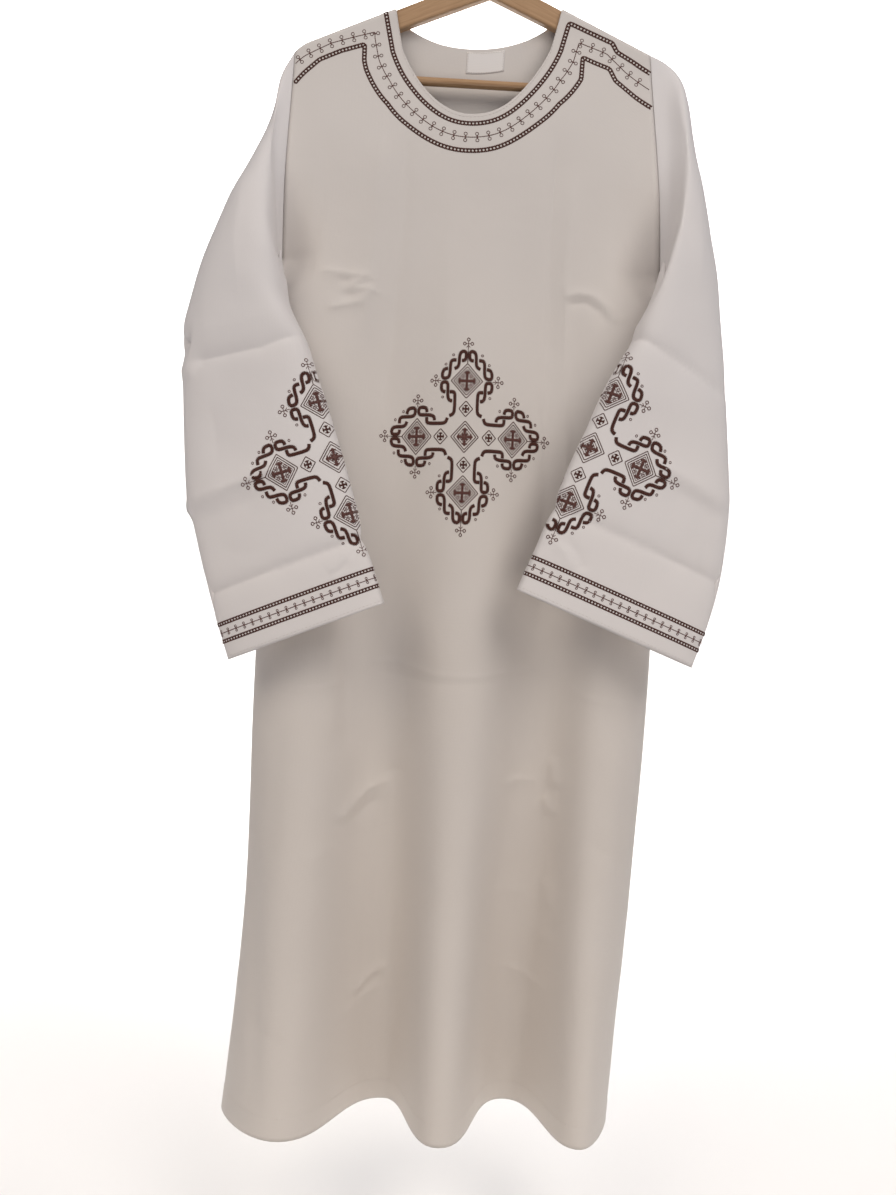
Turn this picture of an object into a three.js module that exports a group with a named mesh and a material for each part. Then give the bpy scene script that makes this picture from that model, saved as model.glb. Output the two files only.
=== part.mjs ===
import * as THREE from 'three';

// A long tunic hung on a wooden hanger. Millimetres, +Z up, the front faces -Y.
// The origin is the seat inside the top of the hanger's hook.

// Cloth
const clothWall = 2;
const seamGap = 0.3;
const halfWall = clothWall / 2;
const halfGap = seamGap / 2;

// Hanger: two flat arms on one slope, a round bar between their ends, a wire hook
const armCrown = -60;
const armSlope = 0.456;
const armReach = 224;
const armThick = 13;
const armBevel = 3;
const armMiddleHeight = 30;
const armOuterHeight = 25;
const crownFlat = 8;
const noseWidth = 28;
const noseFoot = -208;
const noseRound = 9;
const barHeight = -199;
const barRadius = 5.5;
const wireRadius = 1.9;
const hookInside = 24;
const hookOpensAt = 205;
const hookTurnsAt = -42;

// Heights of the garment
const hemHeight = -1510;
const chestHeight = -640;
const armpitHeight = -433;
const yokeHeight = -330;

// Neck and shoulders
const shoulderLeft = -241;
const shoulderRight = 205;
const neckLeft = -119;
const neckRight = 93.5;
const shoulderFlat = 4.5;
const shoulderRoll = 5.5;
const shoulderDroop = 0.02;
const neckRound = 0.62;
const neckSteepest = 4.5;
const yokeDepth = 26;
const armholeDepth = 24;
const armholeClose = 1.6;
const sideTurn = 70;

// Side seams from armpit to hem: where they stand to the left, to the right, and how far back
const sides = [
  { z: -433, left: -243, right: 236, leftY: 0, rightY: 0 },
  { z: -640, left: -246, right: 246, leftY: 0, rightY: 0 },
  { z: -960, left: -246, right: 251, leftY: 0, rightY: 4 },
  { z: -1230, left: -242, right: 245, leftY: 4, rightY: 16 },
  { z: -1380, left: -248, right: 238, leftY: 9, rightY: 26 },
  { z: -1510, left: -257, right: 235, leftY: 15, rightY: 35 },
];

// Folds that run down each panel. thread is the place across the cloth, 0 at the left edge and 1 at the
// right, x and y are the crest or valley at chest height and at the hem, turn is how square the fold is.
const frontFolds = [
  { name: 'left crest', thread: 0.13, chestX: -185, chestY: -36, hemX: -178, hemY: -85, turn: 0.5 },
  { name: 'left valley', thread: 0.32, chestX: -100, chestY: -22, hemX: -53, hemY: 52, turn: 0.48 },
  { name: 'middle crest', thread: 0.515, chestX: 10, chestY: -45, hemX: 17, hemY: -75, turn: 0.54 },
  { name: 'right valley', thread: 0.715, chestX: 122, chestY: -24, hemX: 104, hemY: 70, turn: 0.57 },
  { name: 'right crest', thread: 0.885, chestX: 192, chestY: -36, hemX: 190, hemY: -60, turn: 0.5 },
];
const backFolds = [
  { name: 'left crest', thread: 0.15, chestX: -172, chestY: 40, hemX: -185, hemY: 84, turn: 0.5 },
  { name: 'left valley', thread: 0.33, chestX: -88, chestY: 27, hemX: -112, hemY: 42, turn: 0.5 },
  { name: 'middle crest', thread: 0.49, chestX: -12, chestY: 43, hemX: -36, hemY: 102, turn: 0.52 },
  { name: 'middle valley', thread: 0.63, chestX: 58, chestY: 30, hemX: 40, hemY: 52, turn: 0.5 },
  { name: 'right crest', thread: 0.77, chestX: 128, chestY: 42, hemX: 116, hemY: 106, turn: 0.52 },
  { name: 'right valley', thread: 0.9, chestX: 198, chestY: 26, hemX: 188, hemY: 60, turn: 0.5 },
];
const foldGrowth = 1.3;
const calmTurn = 0.42;
const sideHandle = 0.45;

const front = { facing: -1, folds: frontFolds, neckDepth: 139 };
const back = { facing: 1, folds: backFolds, neckDepth: 42 };

// Sleeves: each row is one turn round the sleeve, from the armhole to the cuff. outer is its upper or outer
// fold, inner its lower or inner fold, half is half its depth.
const leftSleeveTurns = [
  { outerX: -241, outerY: 0, outerZ: -174, innerX: -243, innerY: 0, innerZ: -434, half: 24 },
  { outerX: -256, outerY: -2, outerZ: -206, innerX: -247, innerY: -15, innerZ: -438, half: 30 },
  { outerX: -263, outerY: -4, outerZ: -250, innerX: -243, innerY: -35, innerZ: -444, half: 36 },
  { outerX: -281, outerY: -8, outerZ: -302, innerX: -238, innerY: -52, innerZ: -455, half: 42 },
  { outerX: -303, outerY: -14, outerZ: -365, innerX: -230, innerY: -64, innerZ: -475, half: 44 },
  { outerX: -325, outerY: -22, outerZ: -432, innerX: -222, innerY: -70, innerZ: -508, half: 42 },
  { outerX: -343, outerY: -30, outerZ: -496, innerX: -198, innerY: -76, innerZ: -550, half: 37 },
  { outerX: -352, outerY: -37, outerZ: -545, innerX: -180, innerY: -79, innerZ: -592, half: 32 },
  { outerX: -346, outerY: -43, outerZ: -590, innerX: -164, innerY: -81, innerZ: -632, half: 28 },
  { outerX: -342, outerY: -50, outerZ: -662, innerX: -142, innerY: -84, innerZ: -692, half: 25 },
  { outerX: -330, outerY: -57, outerZ: -745, innerX: -120, innerY: -87, innerZ: -758, half: 22 },
  { outerX: -309, outerY: -63, outerZ: -820, innerX: -103, innerY: -90, innerZ: -806, half: 20 },
  { outerX: -288, outerY: -68, outerZ: -884, innerX: -92, innerY: -92, innerZ: -838, half: 18 },
  { outerX: -267, outerY: -72, outerZ: -940, innerX: -83, innerY: -94, innerZ: -861, half: 17 },
];
const rightSleeveTurns = [
  { outerX: 205, outerY: 0, outerZ: -152, innerX: 236, innerY: 0, innerZ: -434, half: 24 },
  { outerX: 229, outerY: 0, outerZ: -163, innerX: 241, innerY: -13, innerZ: -438, half: 26 },
  { outerX: 246, outerY: -2, outerZ: -182, innerX: 239, innerY: -32, innerZ: -444, half: 31 },
  { outerX: 256, outerY: -4, outerZ: -212, innerX: 235, innerY: -50, innerZ: -452, half: 35 },
  { outerX: 265, outerY: -7, outerZ: -255, innerX: 228, innerY: -64, innerZ: -465, half: 40 },
  { outerX: 275, outerY: -14, outerZ: -310, innerX: 217, innerY: -74, innerZ: -484, half: 42 },
  { outerX: 287, outerY: -25, outerZ: -380, innerX: 203, innerY: -79, innerZ: -508, half: 41 },
  { outerX: 299, outerY: -36, outerZ: -452, innerX: 190, innerY: -84, innerZ: -540, half: 36 },
  { outerX: 308, outerY: -45, outerZ: -524, innerX: 168, innerY: -87, innerZ: -582, half: 32 },
  { outerX: 315, outerY: -52, outerZ: -596, innerX: 146, innerY: -88, innerZ: -634, half: 28 },
  { outerX: 321, outerY: -57, outerZ: -670, innerX: 125, innerY: -89, innerZ: -690, half: 25 },
  { outerX: 324, outerY: -62, outerZ: -742, innerX: 106, innerY: -91, innerZ: -744, half: 22 },
  { outerX: 320, outerY: -64, outerZ: -804, innerX: 92, innerY: -92, innerZ: -786, half: 20 },
  { outerX: 307, outerY: -69, outerZ: -862, innerX: 81, innerY: -94, innerZ: -814, half: 18 },
  { outerX: 289, outerY: -73, outerZ: -917, innerX: 73, innerY: -96, innerZ: -836, half: 17 },
];
const sleeveEase = 0.15;

// Label inside the back neck
const labelWidth = 50;
const labelHeight = 28;
const labelMiddle = 0;
const labelBelowNeck = 4;
const labelWall = 1;

// How finely the cloth is divided
const shoulderColumns = 8;
const neckColumns = 18;
const sleeveSteps = 20;
const rollRows = [0, 0.028, 0.054, 0.081, 0.2, 0.42, 0.7, 1];
const armholeRows = [0.34, 0.65, 0.86, 1];
const skirtTurns = [-446, -466, -500, -560, -640];
const skirtHeights = [...skirtTurns, -740, -840, -940, -1040, -1140, -1240, -1340, -1430, hemHeight];

// Finishes
const cloth = new THREE.MeshStandardMaterial({ color: 0xe3deda, roughness: 0.85, metalness: 0 });
const label = new THREE.MeshStandardMaterial({ color: 0xf2f0ee, roughness: 0.5, metalness: 0 });
const wood = new THREE.MeshStandardMaterial({ color: 0xa98661, roughness: 0.45, metalness: 0 });
const wire = new THREE.MeshStandardMaterial({ color: 0xb9bbbd, roughness: 0.3, metalness: 1 });

const mix = (a, b, k) => a + (b - a) * k;
const clamp = (k) => Math.min(1, Math.max(0, k));
const smooth = (k) => clamp(k) ** 2 * (3 - 2 * clamp(k));

// A value read from a table along a smooth line through its rows, place counts rows from 0
function track(rows, column, place) {
  const last = rows.length - 1;
  const i = Math.min(last - 1, Math.max(0, Math.floor(place)));
  const value = (n) => rows[Math.min(last, Math.max(0, n))][column];
  const slope0 = i === 0 ? value(1) - value(0) : (value(i + 1) - value(i - 1)) / 2;
  const slope1 = i + 1 === last ? value(last) - value(last - 1) : (value(i + 2) - value(i)) / 2;
  const k = place - i;
  const rise = value(i + 1) - value(i);
  const square = 3 * rise - 2 * slope0 - slope1;
  const cube = slope0 + slope1 - 2 * rise;
  return value(i) + slope0 * k + square * k ** 2 + cube * k ** 3;
}

// The row number, with its fraction, at which a falling height stands in a table
function placeAtHeight(rows, z) {
  const last = rows.length - 1;
  for (let i = 0; i < last; i += 1) {
    if (z >= rows[i + 1].z || i === last - 1) {
      return i + (rows[i].z - z) / (rows[i].z - rows[i + 1].z);
    }
  }
  return last;
}

// Height of the cloth where it lies along the hanger's arm, and past the arm's end
function shoulderTop(x) {
  const past = Math.max(0, Math.abs(x) - armReach);
  const lift = (halfWall + seamGap) / Math.cos(Math.atan(armSlope));
  return armCrown + lift - armSlope * Math.abs(x) - shoulderDroop * past ** 2;
}

// Where a side edge of the body stands at a height: on the armhole or on the side seam
function sideEdge(panel, side, z) {
  const place = placeAtHeight(sides, Math.min(z, armpitHeight));
  if (z >= armpitHeight) {
    const tip = side === 'left' ? shoulderLeft : shoulderRight;
    const down = (z - shoulderTop(tip)) / (armpitHeight - shoulderTop(tip));
    const close = clamp((yokeHeight - z) / (yokeHeight - armpitHeight));
    const open = 1 - close ** armholeClose;
    const meet = halfGap + halfWall;
    return { x: mix(tip, sides[0][side], down), y: panel.facing * mix(meet, armholeDepth, open), turned: 0 };
  }
  const turned = (Math.PI / 2) * smooth((armpitHeight - z) / sideTurn);
  const meet = halfGap + halfWall * Math.cos(turned);
  return { x: track(sides, side, place), y: track(sides, side + 'Y', place) + panel.facing * meet, turned };
}

// A crest or valley at a height, between the yoke, the chest and the hem
function foldAt(panel, fold, z) {
  if (z > chestHeight) {
    const k = smooth((yokeHeight - z) / (yokeHeight - chestHeight));
    const x = mix(mix(shoulderLeft, shoulderRight, fold.thread), fold.chestX, k);
    return { x, y: mix(panel.facing * yokeDepth, fold.chestY, k), turn: calmTurn };
  }
  const k = (chestHeight - z) / (chestHeight - hemHeight);
  return {
    x: mix(fold.chestX, fold.hemX, k),
    y: mix(fold.chestY, fold.hemY, k ** foldGrowth),
    turn: mix(calmTurn, fold.turn, k),
  };
}

// A level section of a panel: one smooth line from side to side through its crests and valleys
function sectionPoint(panel, thread, z) {
  const threads = [0, ...panel.folds.map((fold) => fold.thread), 1];
  let i = 0;
  while (i < threads.length - 2 && thread > threads[i + 1]) {
    i += 1;
  }
  const end = (n) => {
    if (n === 0 || n === threads.length - 1) {
      return sideEdge(panel, n === 0 ? 'left' : 'right', z);
    }
    return foldAt(panel, panel.folds[n - 1], z);
  };
  const from = end(i);
  const to = end(i + 1);
  const span = to.x - from.x;
  const handle = (point, sign) => {
    if (point.turn !== undefined) {
      return [sign * point.turn * span, 0];
    }
    const length = sideHandle * Math.abs(span);
    return [sign * length * Math.cos(point.turned), panel.facing * length * Math.sin(point.turned)];
  };
  const out = handle(from, 1);
  const back = handle(to, -1);
  const k = (thread - threads[i]) / (threads[i + 1] - threads[i]);
  const weights = [(1 - k) ** 3, 3 * k * (1 - k) ** 2, 3 * k ** 2 * (1 - k), k ** 3];
  const bend = (...places) => places.reduce((sum, place, n) => sum + place * weights[n], 0);
  return new THREE.Vector3(
    bend(from.x, from.x + out[0], to.x + back[0], to.x),
    bend(from.y, from.y + out[1], to.y + back[1], to.y),
    z,
  );
}

// The upper edge of a panel at a thread: on the shoulder seam or on the neck's curve
function upperEdge(panel, thread) {
  const x = mix(shoulderLeft, shoulderRight, thread);
  const across = (x - neckLeft) / (neckRight - neckLeft);
  if (across <= 0 || across >= 1) {
    return { x, z: shoulderTop(x), seam: shoulderTop(x), length: 0 };
  }
  const seam = mix(shoulderTop(neckLeft), shoulderTop(neckRight), across);
  const scooped = lengthForDrop(panel.neckDepth) * (1 - (2 * across - 1) ** 2) ** neckRound;
  const length = Math.min(scooped, neckSteepest * Math.min(x - neckLeft, neckRight - x));
  return { x, z: seam - dropForLength(length).drop, seam, length };
}

// The cloth lies flat on the arm, turns down on a round of shoulderRoll and then hangs. The first function
// gives the length along it for a drop, the second the drop and the way out for a length.
function lengthForDrop(drop) {
  if (drop <= 0) {
    return 0;
  }
  if (drop < shoulderRoll) {
    return shoulderFlat + shoulderRoll * Math.acos(1 - drop / shoulderRoll);
  }
  return shoulderFlat + (shoulderRoll * Math.PI) / 2 + drop - shoulderRoll;
}

function dropForLength(length) {
  const angle = Math.max(0, length - shoulderFlat) / shoulderRoll;
  if (angle < Math.PI / 2) {
    const out = Math.min(length, shoulderFlat) + shoulderRoll * Math.sin(angle);
    return { drop: shoulderRoll * (1 - Math.cos(angle)), out };
  }
  return { drop: shoulderRoll * (1 + angle - Math.PI / 2), out: shoulderFlat + shoulderRoll };
}

// A point of a panel's middle surface. down runs 0..1 from the upper edge to the yoke, 1..2 to the armpit
// and 2..3 to the hem.
function panelPoint(panel, thread, down) {
  if (down >= 2) {
    return sectionPoint(panel, thread, mix(armpitHeight - 1e-6, hemHeight, down - 2));
  }
  if (down >= 1) {
    return sectionPoint(panel, thread, mix(yokeHeight, armpitHeight, down - 1));
  }
  const edge = upperEdge(panel, thread);
  const low = sectionPoint(panel, thread, yokeHeight);
  const hung = dropForLength(mix(edge.length, lengthForDrop(edge.seam - yokeHeight), down));
  const fall = hung.drop / (edge.seam - yokeHeight);
  const settle = smooth((hung.drop - shoulderRoll) / (edge.seam - yokeHeight - shoulderRoll));
  const y = panel.facing * (halfGap + hung.out);
  return new THREE.Vector3(mix(edge.x, low.x, fall), mix(y, low.y, settle), edge.seam - hung.drop);
}

// Which way a surface faces at a point, from two short steps on it
function facingOf(pointAt, u, v, uEnd, vEnd) {
  const step = 1e-4;
  const u0 = Math.max(0, u - step);
  const u1 = Math.min(uEnd, u + step);
  const v0 = Math.max(0, v - step);
  const v1 = Math.min(vEnd, v + step);
  const across = pointAt(u1, v).sub(pointAt(u0, v));
  const along = pointAt(u, v1).sub(pointAt(u, v0));
  return across.cross(along).normalize();
}

function panelFacing(panel, thread, down) {
  const outwards = panel.facing;
  return facingOf((u, v) => panelPoint(panel, u, v), thread, down, 1, 3).multiplyScalar(outwards);
}

// A closed wall from rows of middle points and the way each faces. wraps joins each row's end to its start.
function wallGeometry(points, facings, wall, wraps) {
  const rows = points.length;
  const columns = points[0].length;
  const positions = [];
  for (const side of [1, -1]) {
    for (let r = 0; r < rows; r += 1) {
      for (let c = 0; c < columns; c += 1) {
        const p = points[r][c].clone().addScaledVector(facings[r][c], (side * wall) / 2);
        positions.push(p.x, p.y, p.z);
      }
    }
  }
  const outer = (r, c) => r * columns + (c % columns);
  const inner = (r, c) => rows * columns + outer(r, c);
  const faces = [];
  const corner = (n) => new THREE.Vector3().fromArray(positions, 3 * n);
  const apart = (a, b) => corner(a).distanceTo(corner(b));
  const quad = (a, b, c, d) => {
    if (apart(a, c) < apart(b, d)) {
      faces.push(a, b, c, a, c, d);
    } else {
      faces.push(a, b, d, b, c, d);
    }
  };
  const lastColumn = wraps ? columns : columns - 1;
  for (let r = 0; r < rows - 1; r += 1) {
    for (let c = 0; c < lastColumn; c += 1) {
      quad(outer(r, c), outer(r, c + 1), outer(r + 1, c + 1), outer(r + 1, c));
      quad(inner(r, c), inner(r + 1, c), inner(r + 1, c + 1), inner(r, c + 1));
    }
    if (!wraps) {
      quad(outer(r, 0), outer(r + 1, 0), inner(r + 1, 0), inner(r, 0));
      quad(outer(r, lastColumn), inner(r, lastColumn), inner(r + 1, lastColumn), outer(r + 1, lastColumn));
    }
  }
  for (let c = 0; c < lastColumn; c += 1) {
    quad(outer(0, c), inner(0, c), inner(0, c + 1), outer(0, c + 1));
    quad(outer(rows - 1, c), outer(rows - 1, c + 1), inner(rows - 1, c + 1), inner(rows - 1, c));
  }
  if (volumeOf(positions, faces) < 0) {
    for (let i = 0; i < faces.length; i += 3) {
      [faces[i + 1], faces[i + 2]] = [faces[i + 2], faces[i + 1]];
    }
  }
  const geometry = new THREE.BufferGeometry();
  geometry.setAttribute('position', new THREE.Float32BufferAttribute(positions, 3));
  geometry.setIndex(faces);
  geometry.computeVertexNormals();
  return geometry;
}

function volumeOf(positions, faces) {
  const corner = (n) => new THREE.Vector3().fromArray(positions, 3 * n);
  let sum = 0;
  for (let i = 0; i < faces.length; i += 3) {
    sum += corner(faces[i]).dot(corner(faces[i + 1]).cross(corner(faces[i + 2])));
  }
  return sum / 6;
}

// Threads at which a panel is divided: even on the shoulders, closer together where the neck turns up
function threadList() {
  const threadOf = (x) => (x - shoulderLeft) / (shoulderRight - shoulderLeft);
  const threads = [];
  for (let i = 0; i < shoulderColumns; i += 1) {
    threads.push(threadOf(mix(shoulderLeft, neckLeft, i / shoulderColumns)));
  }
  const onTheArm = [0, 1, 2].map((n) => shoulderFlat + (shoulderRoll * Math.PI * n) / 4);
  const corner = [0, ...onTheArm.map((length) => length / neckSteepest)];
  threads.push(...corner.map((inwards) => threadOf(neckLeft + inwards)));
  for (let i = 1; i < neckColumns; i += 1) {
    const even = (2 * i) / neckColumns - 1;
    const across = (even + Math.sin((Math.PI / 2) * even)) / 2;
    threads.push(threadOf(mix(neckLeft, neckRight, (across + 1) / 2)));
  }
  threads.push(...corner.reverse().map((inwards) => threadOf(neckRight - inwards)));
  for (let i = 1; i <= shoulderColumns; i += 1) {
    threads.push(threadOf(mix(neckRight, shoulderRight, i / shoulderColumns)));
  }
  return threads;
}

const upperRows = [...rollRows, ...armholeRows.map((row) => 1 + row)];
const lowerRows = skirtHeights.map((z) => 2 + (armpitHeight - z) / (armpitHeight - hemHeight));

function panelGeometry(panel) {
  const threads = threadList();
  const rows = [...upperRows, ...lowerRows];
  const points = rows.map((down) => threads.map((thread) => panelPoint(panel, thread, down)));
  const facings = rows.map((down) => threads.map((thread) => panelFacing(panel, thread, down)));
  return wallGeometry(points, facings, clothWall, false);
}

// The armhole's loop, from the shoulder's tip down the front edge to the armpit and up the back edge
function armholeLoop(thread) {
  const outwards = thread === 0 ? -1 : 1;
  const edgeOf = (panel, down) => {
    const point = panelPoint(panel, thread, down);
    point.x += outwards * seamGap;
    return { point, facing: panelFacing(panel, thread, down) };
  };
  const joined = (down) => {
    const a = edgeOf(front, down);
    const b = edgeOf(back, down);
    return { point: a.point.lerp(b.point, 0.5), facing: a.facing.add(b.facing).setY(0).normalize() };
  };
  const between = upperRows.slice(1, -1);
  const top = joined(0);
  const bottom = joined(2);
  bottom.point.z -= halfWall;
  bottom.facing.set(0, 0, -1);
  return [
    top,
    ...between.map((down) => edgeOf(front, down)),
    bottom,
    ...[...between].reverse().map((down) => edgeOf(back, down)),
  ];
}

// One turn of a sleeve: the armhole's loop laid between the turn's outer and inner folds, then made oval
function sleevePoint(turns, loop, along, n) {
  const place = along * (turns.length - 1);
  const read = (column) => track(turns, column, place);
  const outer = new THREE.Vector3(read('outerX'), read('outerY'), read('outerZ'));
  const inner = new THREE.Vector3(read('innerX'), read('innerY'), read('innerZ'));
  const top = loop[0].point;
  const bottom = loop[loop.length / 2].point;
  const share = (loop[n].point.z - bottom.z) / (top.z - bottom.z);
  const oval = Math.sqrt(Math.max(0, 1 - Math.abs(2 * share - 1) ** 2.4));
  const sign = n === 0 || n === loop.length / 2 ? 0 : Math.sign(loop.length / 2 - n);
  const worn = Math.abs(loop[n].point.y) / armholeDepth;
  const depth = -sign * read('half') * mix(worn, oval, smooth(along / sleeveEase));
  const line = outer.clone().sub(inner).normalize();
  const across = new THREE.Vector3(0, 1, 0).addScaledVector(line, -line.y).normalize();
  return inner.lerp(outer, share).addScaledVector(across, depth);
}

function sleeveGeometry(turns, thread) {
  const loop = armholeLoop(thread);
  const count = loop.length;
  const outwards = thread === 0 ? 1 : -1;
  const points = [loop.map((edge) => edge.point)];
  const facings = [loop.map((edge) => edge.facing)];
  for (let step = 1; step <= sleeveSteps; step += 1) {
    const along = step / sleeveSteps;
    const near = Math.max(0, along - 0.01);
    const far = Math.min(1, along + 0.01);
    const row = [];
    const rowFacings = [];
    for (let n = 0; n < count; n += 1) {
      const before = sleevePoint(turns, loop, along, (n + count - 1) % count);
      const after = sleevePoint(turns, loop, along, (n + 1) % count);
      const across = after.sub(before);
      const down = sleevePoint(turns, loop, far, n).sub(sleevePoint(turns, loop, near, n));
      row.push(sleevePoint(turns, loop, along, n));
      rowFacings.push(across.cross(down).normalize().multiplyScalar(outwards));
    }
    points.push(row);
    facings.push(rowFacings);
  }
  return wallGeometry(points, facings, clothWall, true);
}

// The label follows the inside of the back panel
function labelGeometry() {
  const threadOf = (x) => (x - shoulderLeft) / (shoulderRight - shoulderLeft);
  const columns = 6;
  const rows = 3;
  const inside = halfWall + seamGap + labelWall / 2;
  const middle = upperEdge(back, threadOf(labelMiddle));
  const reach = middle.z - yokeHeight;
  const points = [];
  const facings = [];
  for (let r = 0; r <= rows; r += 1) {
    const down = (labelBelowNeck + (labelHeight * r) / rows) / reach;
    const line = [];
    const lineFacings = [];
    for (let c = 0; c <= columns; c += 1) {
      const thread = threadOf(labelMiddle + labelWidth * (c / columns - 0.5));
      const facing = panelFacing(back, thread, down);
      line.push(panelPoint(back, thread, down).addScaledVector(facing, -inside));
      lineFacings.push(facing);
    }
    points.push(line);
    facings.push(lineFacings);
  }
  return wallGeometry(points, facings, labelWall, false);
}

// Both arms are one board: a roof shape with a nose turned down at each end
function armsGeometry() {
  const top = (x) => armCrown - armSlope * x;
  const noseInside = armReach - noseWidth;
  const half = [
    [crownFlat, top(crownFlat)],
    [armReach - noseRound, top(armReach - noseRound)],
    [armReach, top(armReach) - noseRound],
    [armReach, noseFoot + noseRound],
    [armReach - noseRound, noseFoot],
    [noseInside, noseFoot],
    [noseInside, top(noseInside) - armOuterHeight - noseRound],
    [noseInside - noseRound, top(noseInside - noseRound) - armOuterHeight],
  ];
  const shape = new THREE.Shape();
  shape.moveTo(0, armCrown - armMiddleHeight);
  for (const [x, z] of [...half].reverse().map(([x, z]) => [-x, z])) {
    shape.lineTo(x, z);
  }
  for (const [x, z] of half) {
    shape.lineTo(x, z);
  }
  shape.closePath();
  const geometry = new THREE.ExtrudeGeometry(shape, {
    depth: armThick - 2 * armBevel,
    bevelEnabled: true,
    bevelThickness: armBevel,
    bevelSize: armBevel,
    bevelOffset: -armBevel,
    bevelSegments: 3,
    curveSegments: 6,
  });
  geometry.translate(0, 0, -(armThick / 2 - armBevel));
  geometry.rotateX(Math.PI / 2);
  return geometry;
}

function barGeometry() {
  const length = 2 * (armReach - noseWidth - seamGap);
  return new THREE.CylinderGeometry(barRadius, barRadius, length, 20);
}

// The hook: round the rail from its open end, then back to the middle and straight down onto the arms
function hookGeometry() {
  const radius = hookInside + wireRadius;
  const line = [];
  for (let degrees = hookOpensAt; degrees >= hookTurnsAt; degrees -= 13) {
    const angle = (degrees * Math.PI) / 180;
    line.push(new THREE.Vector3(radius * Math.cos(angle), 0, radius * Math.sin(angle) - hookInside));
  }
  const foot = armCrown - armSlope * crownFlat + seamGap;
  line.push(new THREE.Vector3(3, 0, foot + 10));
  line.push(new THREE.Vector3(0, 0, foot + 5));
  line.push(new THREE.Vector3(0, 0, foot));
  const section = new THREE.Shape();
  section.absarc(0, 0, wireRadius, 0, 2 * Math.PI);
  return new THREE.ExtrudeGeometry(section, {
    steps: 40,
    curveSegments: 5,
    bevelEnabled: false,
    extrudePath: new THREE.CatmullRomCurve3(line),
  });
}

const tunic = new THREE.Group();
tunic.name = 'tunic_on_hanger';

function add(name, geometry, material) {
  const mesh = new THREE.Mesh(geometry, material);
  mesh.name = name;
  tunic.add(mesh);
  return mesh;
}

add('front_panel', panelGeometry(front), cloth);
add('back_panel', panelGeometry(back), cloth);
add('sleeve_left', sleeveGeometry(leftSleeveTurns, 0), cloth);
add('sleeve_right', sleeveGeometry(rightSleeveTurns, 1), cloth);
add('neck_label', labelGeometry(), label);
add('hanger_arms', armsGeometry(), wood);
const bar = add('hanger_bar', barGeometry(), wood);
bar.rotation.z = Math.PI / 2;
bar.position.z = barHeight;
add('hanger_hook', hookGeometry(), wire);

export default tunic;
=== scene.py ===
import math

import bpy
import numpy as np
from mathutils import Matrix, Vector
from mathutils.bvhtree import BVHTree


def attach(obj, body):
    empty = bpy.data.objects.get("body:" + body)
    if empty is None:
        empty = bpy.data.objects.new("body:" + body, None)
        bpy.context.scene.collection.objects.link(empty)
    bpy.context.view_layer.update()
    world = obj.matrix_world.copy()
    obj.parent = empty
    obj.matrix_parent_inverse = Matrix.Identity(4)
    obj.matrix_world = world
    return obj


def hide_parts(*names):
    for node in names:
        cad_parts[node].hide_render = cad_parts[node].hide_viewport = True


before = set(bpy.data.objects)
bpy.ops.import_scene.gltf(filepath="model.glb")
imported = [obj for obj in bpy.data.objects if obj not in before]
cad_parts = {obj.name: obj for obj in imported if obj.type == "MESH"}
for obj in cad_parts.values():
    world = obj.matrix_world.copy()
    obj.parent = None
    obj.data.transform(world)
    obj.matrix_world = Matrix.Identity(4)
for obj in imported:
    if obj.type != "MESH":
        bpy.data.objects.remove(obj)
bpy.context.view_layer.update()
print("frame loaded")

# Sizes are millimetres until a mesh is made. +Z up, the front faces -Y.
# The cloth follows the same lines as the solids, with its creases added on top.

clothSheet = {
    "thickness": 0.8,
    "gap": 0.3,            # between two pieces at a seam
    "solidWall": 2,        # the solids' wall, whose middle the cloth follows
    "spacing": 4.2,        # of the front panel's and the sleeves' grid
    "backSpacing": 5.4,
    "fineSpacing": 2.6,    # of the rows in which creases lie
    "hemDepth": 26, "hemProud": 0.5,
}

shoulder = {
    "crown": -60, "slope": 0.456, "armReach": 224, "droop": 0.02,
    "left": -241, "right": 205, "neckLeft": -119, "neckRight": 93.5,
    "flat": 4.5, "roll": 5.5, "neckRound": 0.62, "neckSteepest": 4.5,
    "yokeDepth": 26, "armholeDepth": 24, "armholeClose": 1.6,
}

level = {"yoke": -330, "armpit": -433, "chest": -640, "hem": -1510}

sideSeam = {
    "z": [-433, -640, -960, -1230, -1380, -1510],
    "left": [-243, -246, -246, -242, -248, -257],
    "right": [236, 246, 251, 245, 238, 235],
    "leftY": [0, 0, 0, 4, 9, 15],
    "rightY": [0, 0, 4, 16, 26, 35],
}

# Crests and valleys: place across the cloth, x and y at the chest, x and y at the hem, how square
frontFolds = {
    "left crest": (0.13, -185, -36, -178, -85, 0.5),
    "left valley": (0.32, -100, -22, -53, 52, 0.48),
    "middle crest": (0.515, 10, -45, 17, -75, 0.54),
    "right valley": (0.715, 122, -24, 104, 70, 0.57),
    "right crest": (0.885, 192, -36, 190, -60, 0.5),
}
backFolds = {
    "left crest": (0.15, -172, 40, -185, 84, 0.5),
    "left valley": (0.33, -88, 27, -112, 42, 0.5),
    "middle crest": (0.49, -12, 43, -36, 102, 0.52),
    "middle valley": (0.63, 58, 30, 40, 52, 0.5),
    "right crest": (0.77, 128, 42, 116, 106, 0.52),
    "right valley": (0.9, 198, 26, 188, 60, 0.5),
}
fold = {"growth": 1.3, "calmTurn": 0.42, "sideHandle": 0.45, "sideTurn": 70}

# Heights between which small creases lie, so that the rows are closer there
frontPanel = {"facing": -1, "folds": list(frontFolds.values()), "neckDepth": 139,
              "creased": [(-512, -446), (-984, -922), (-1140, -1062), (-1368, -1316), (-1490, -1478)]}
backPanel = {"facing": 1, "folds": list(backFolds.values()), "neckDepth": 42,
             "creased": [(-512, -480), (-970, -935)]}


def mix(a, b, k):
    return a + (b - a) * k


def smooth(k):
    k = np.clip(k, 0, 1)
    return k * k * (3 - 2 * k)


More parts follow.
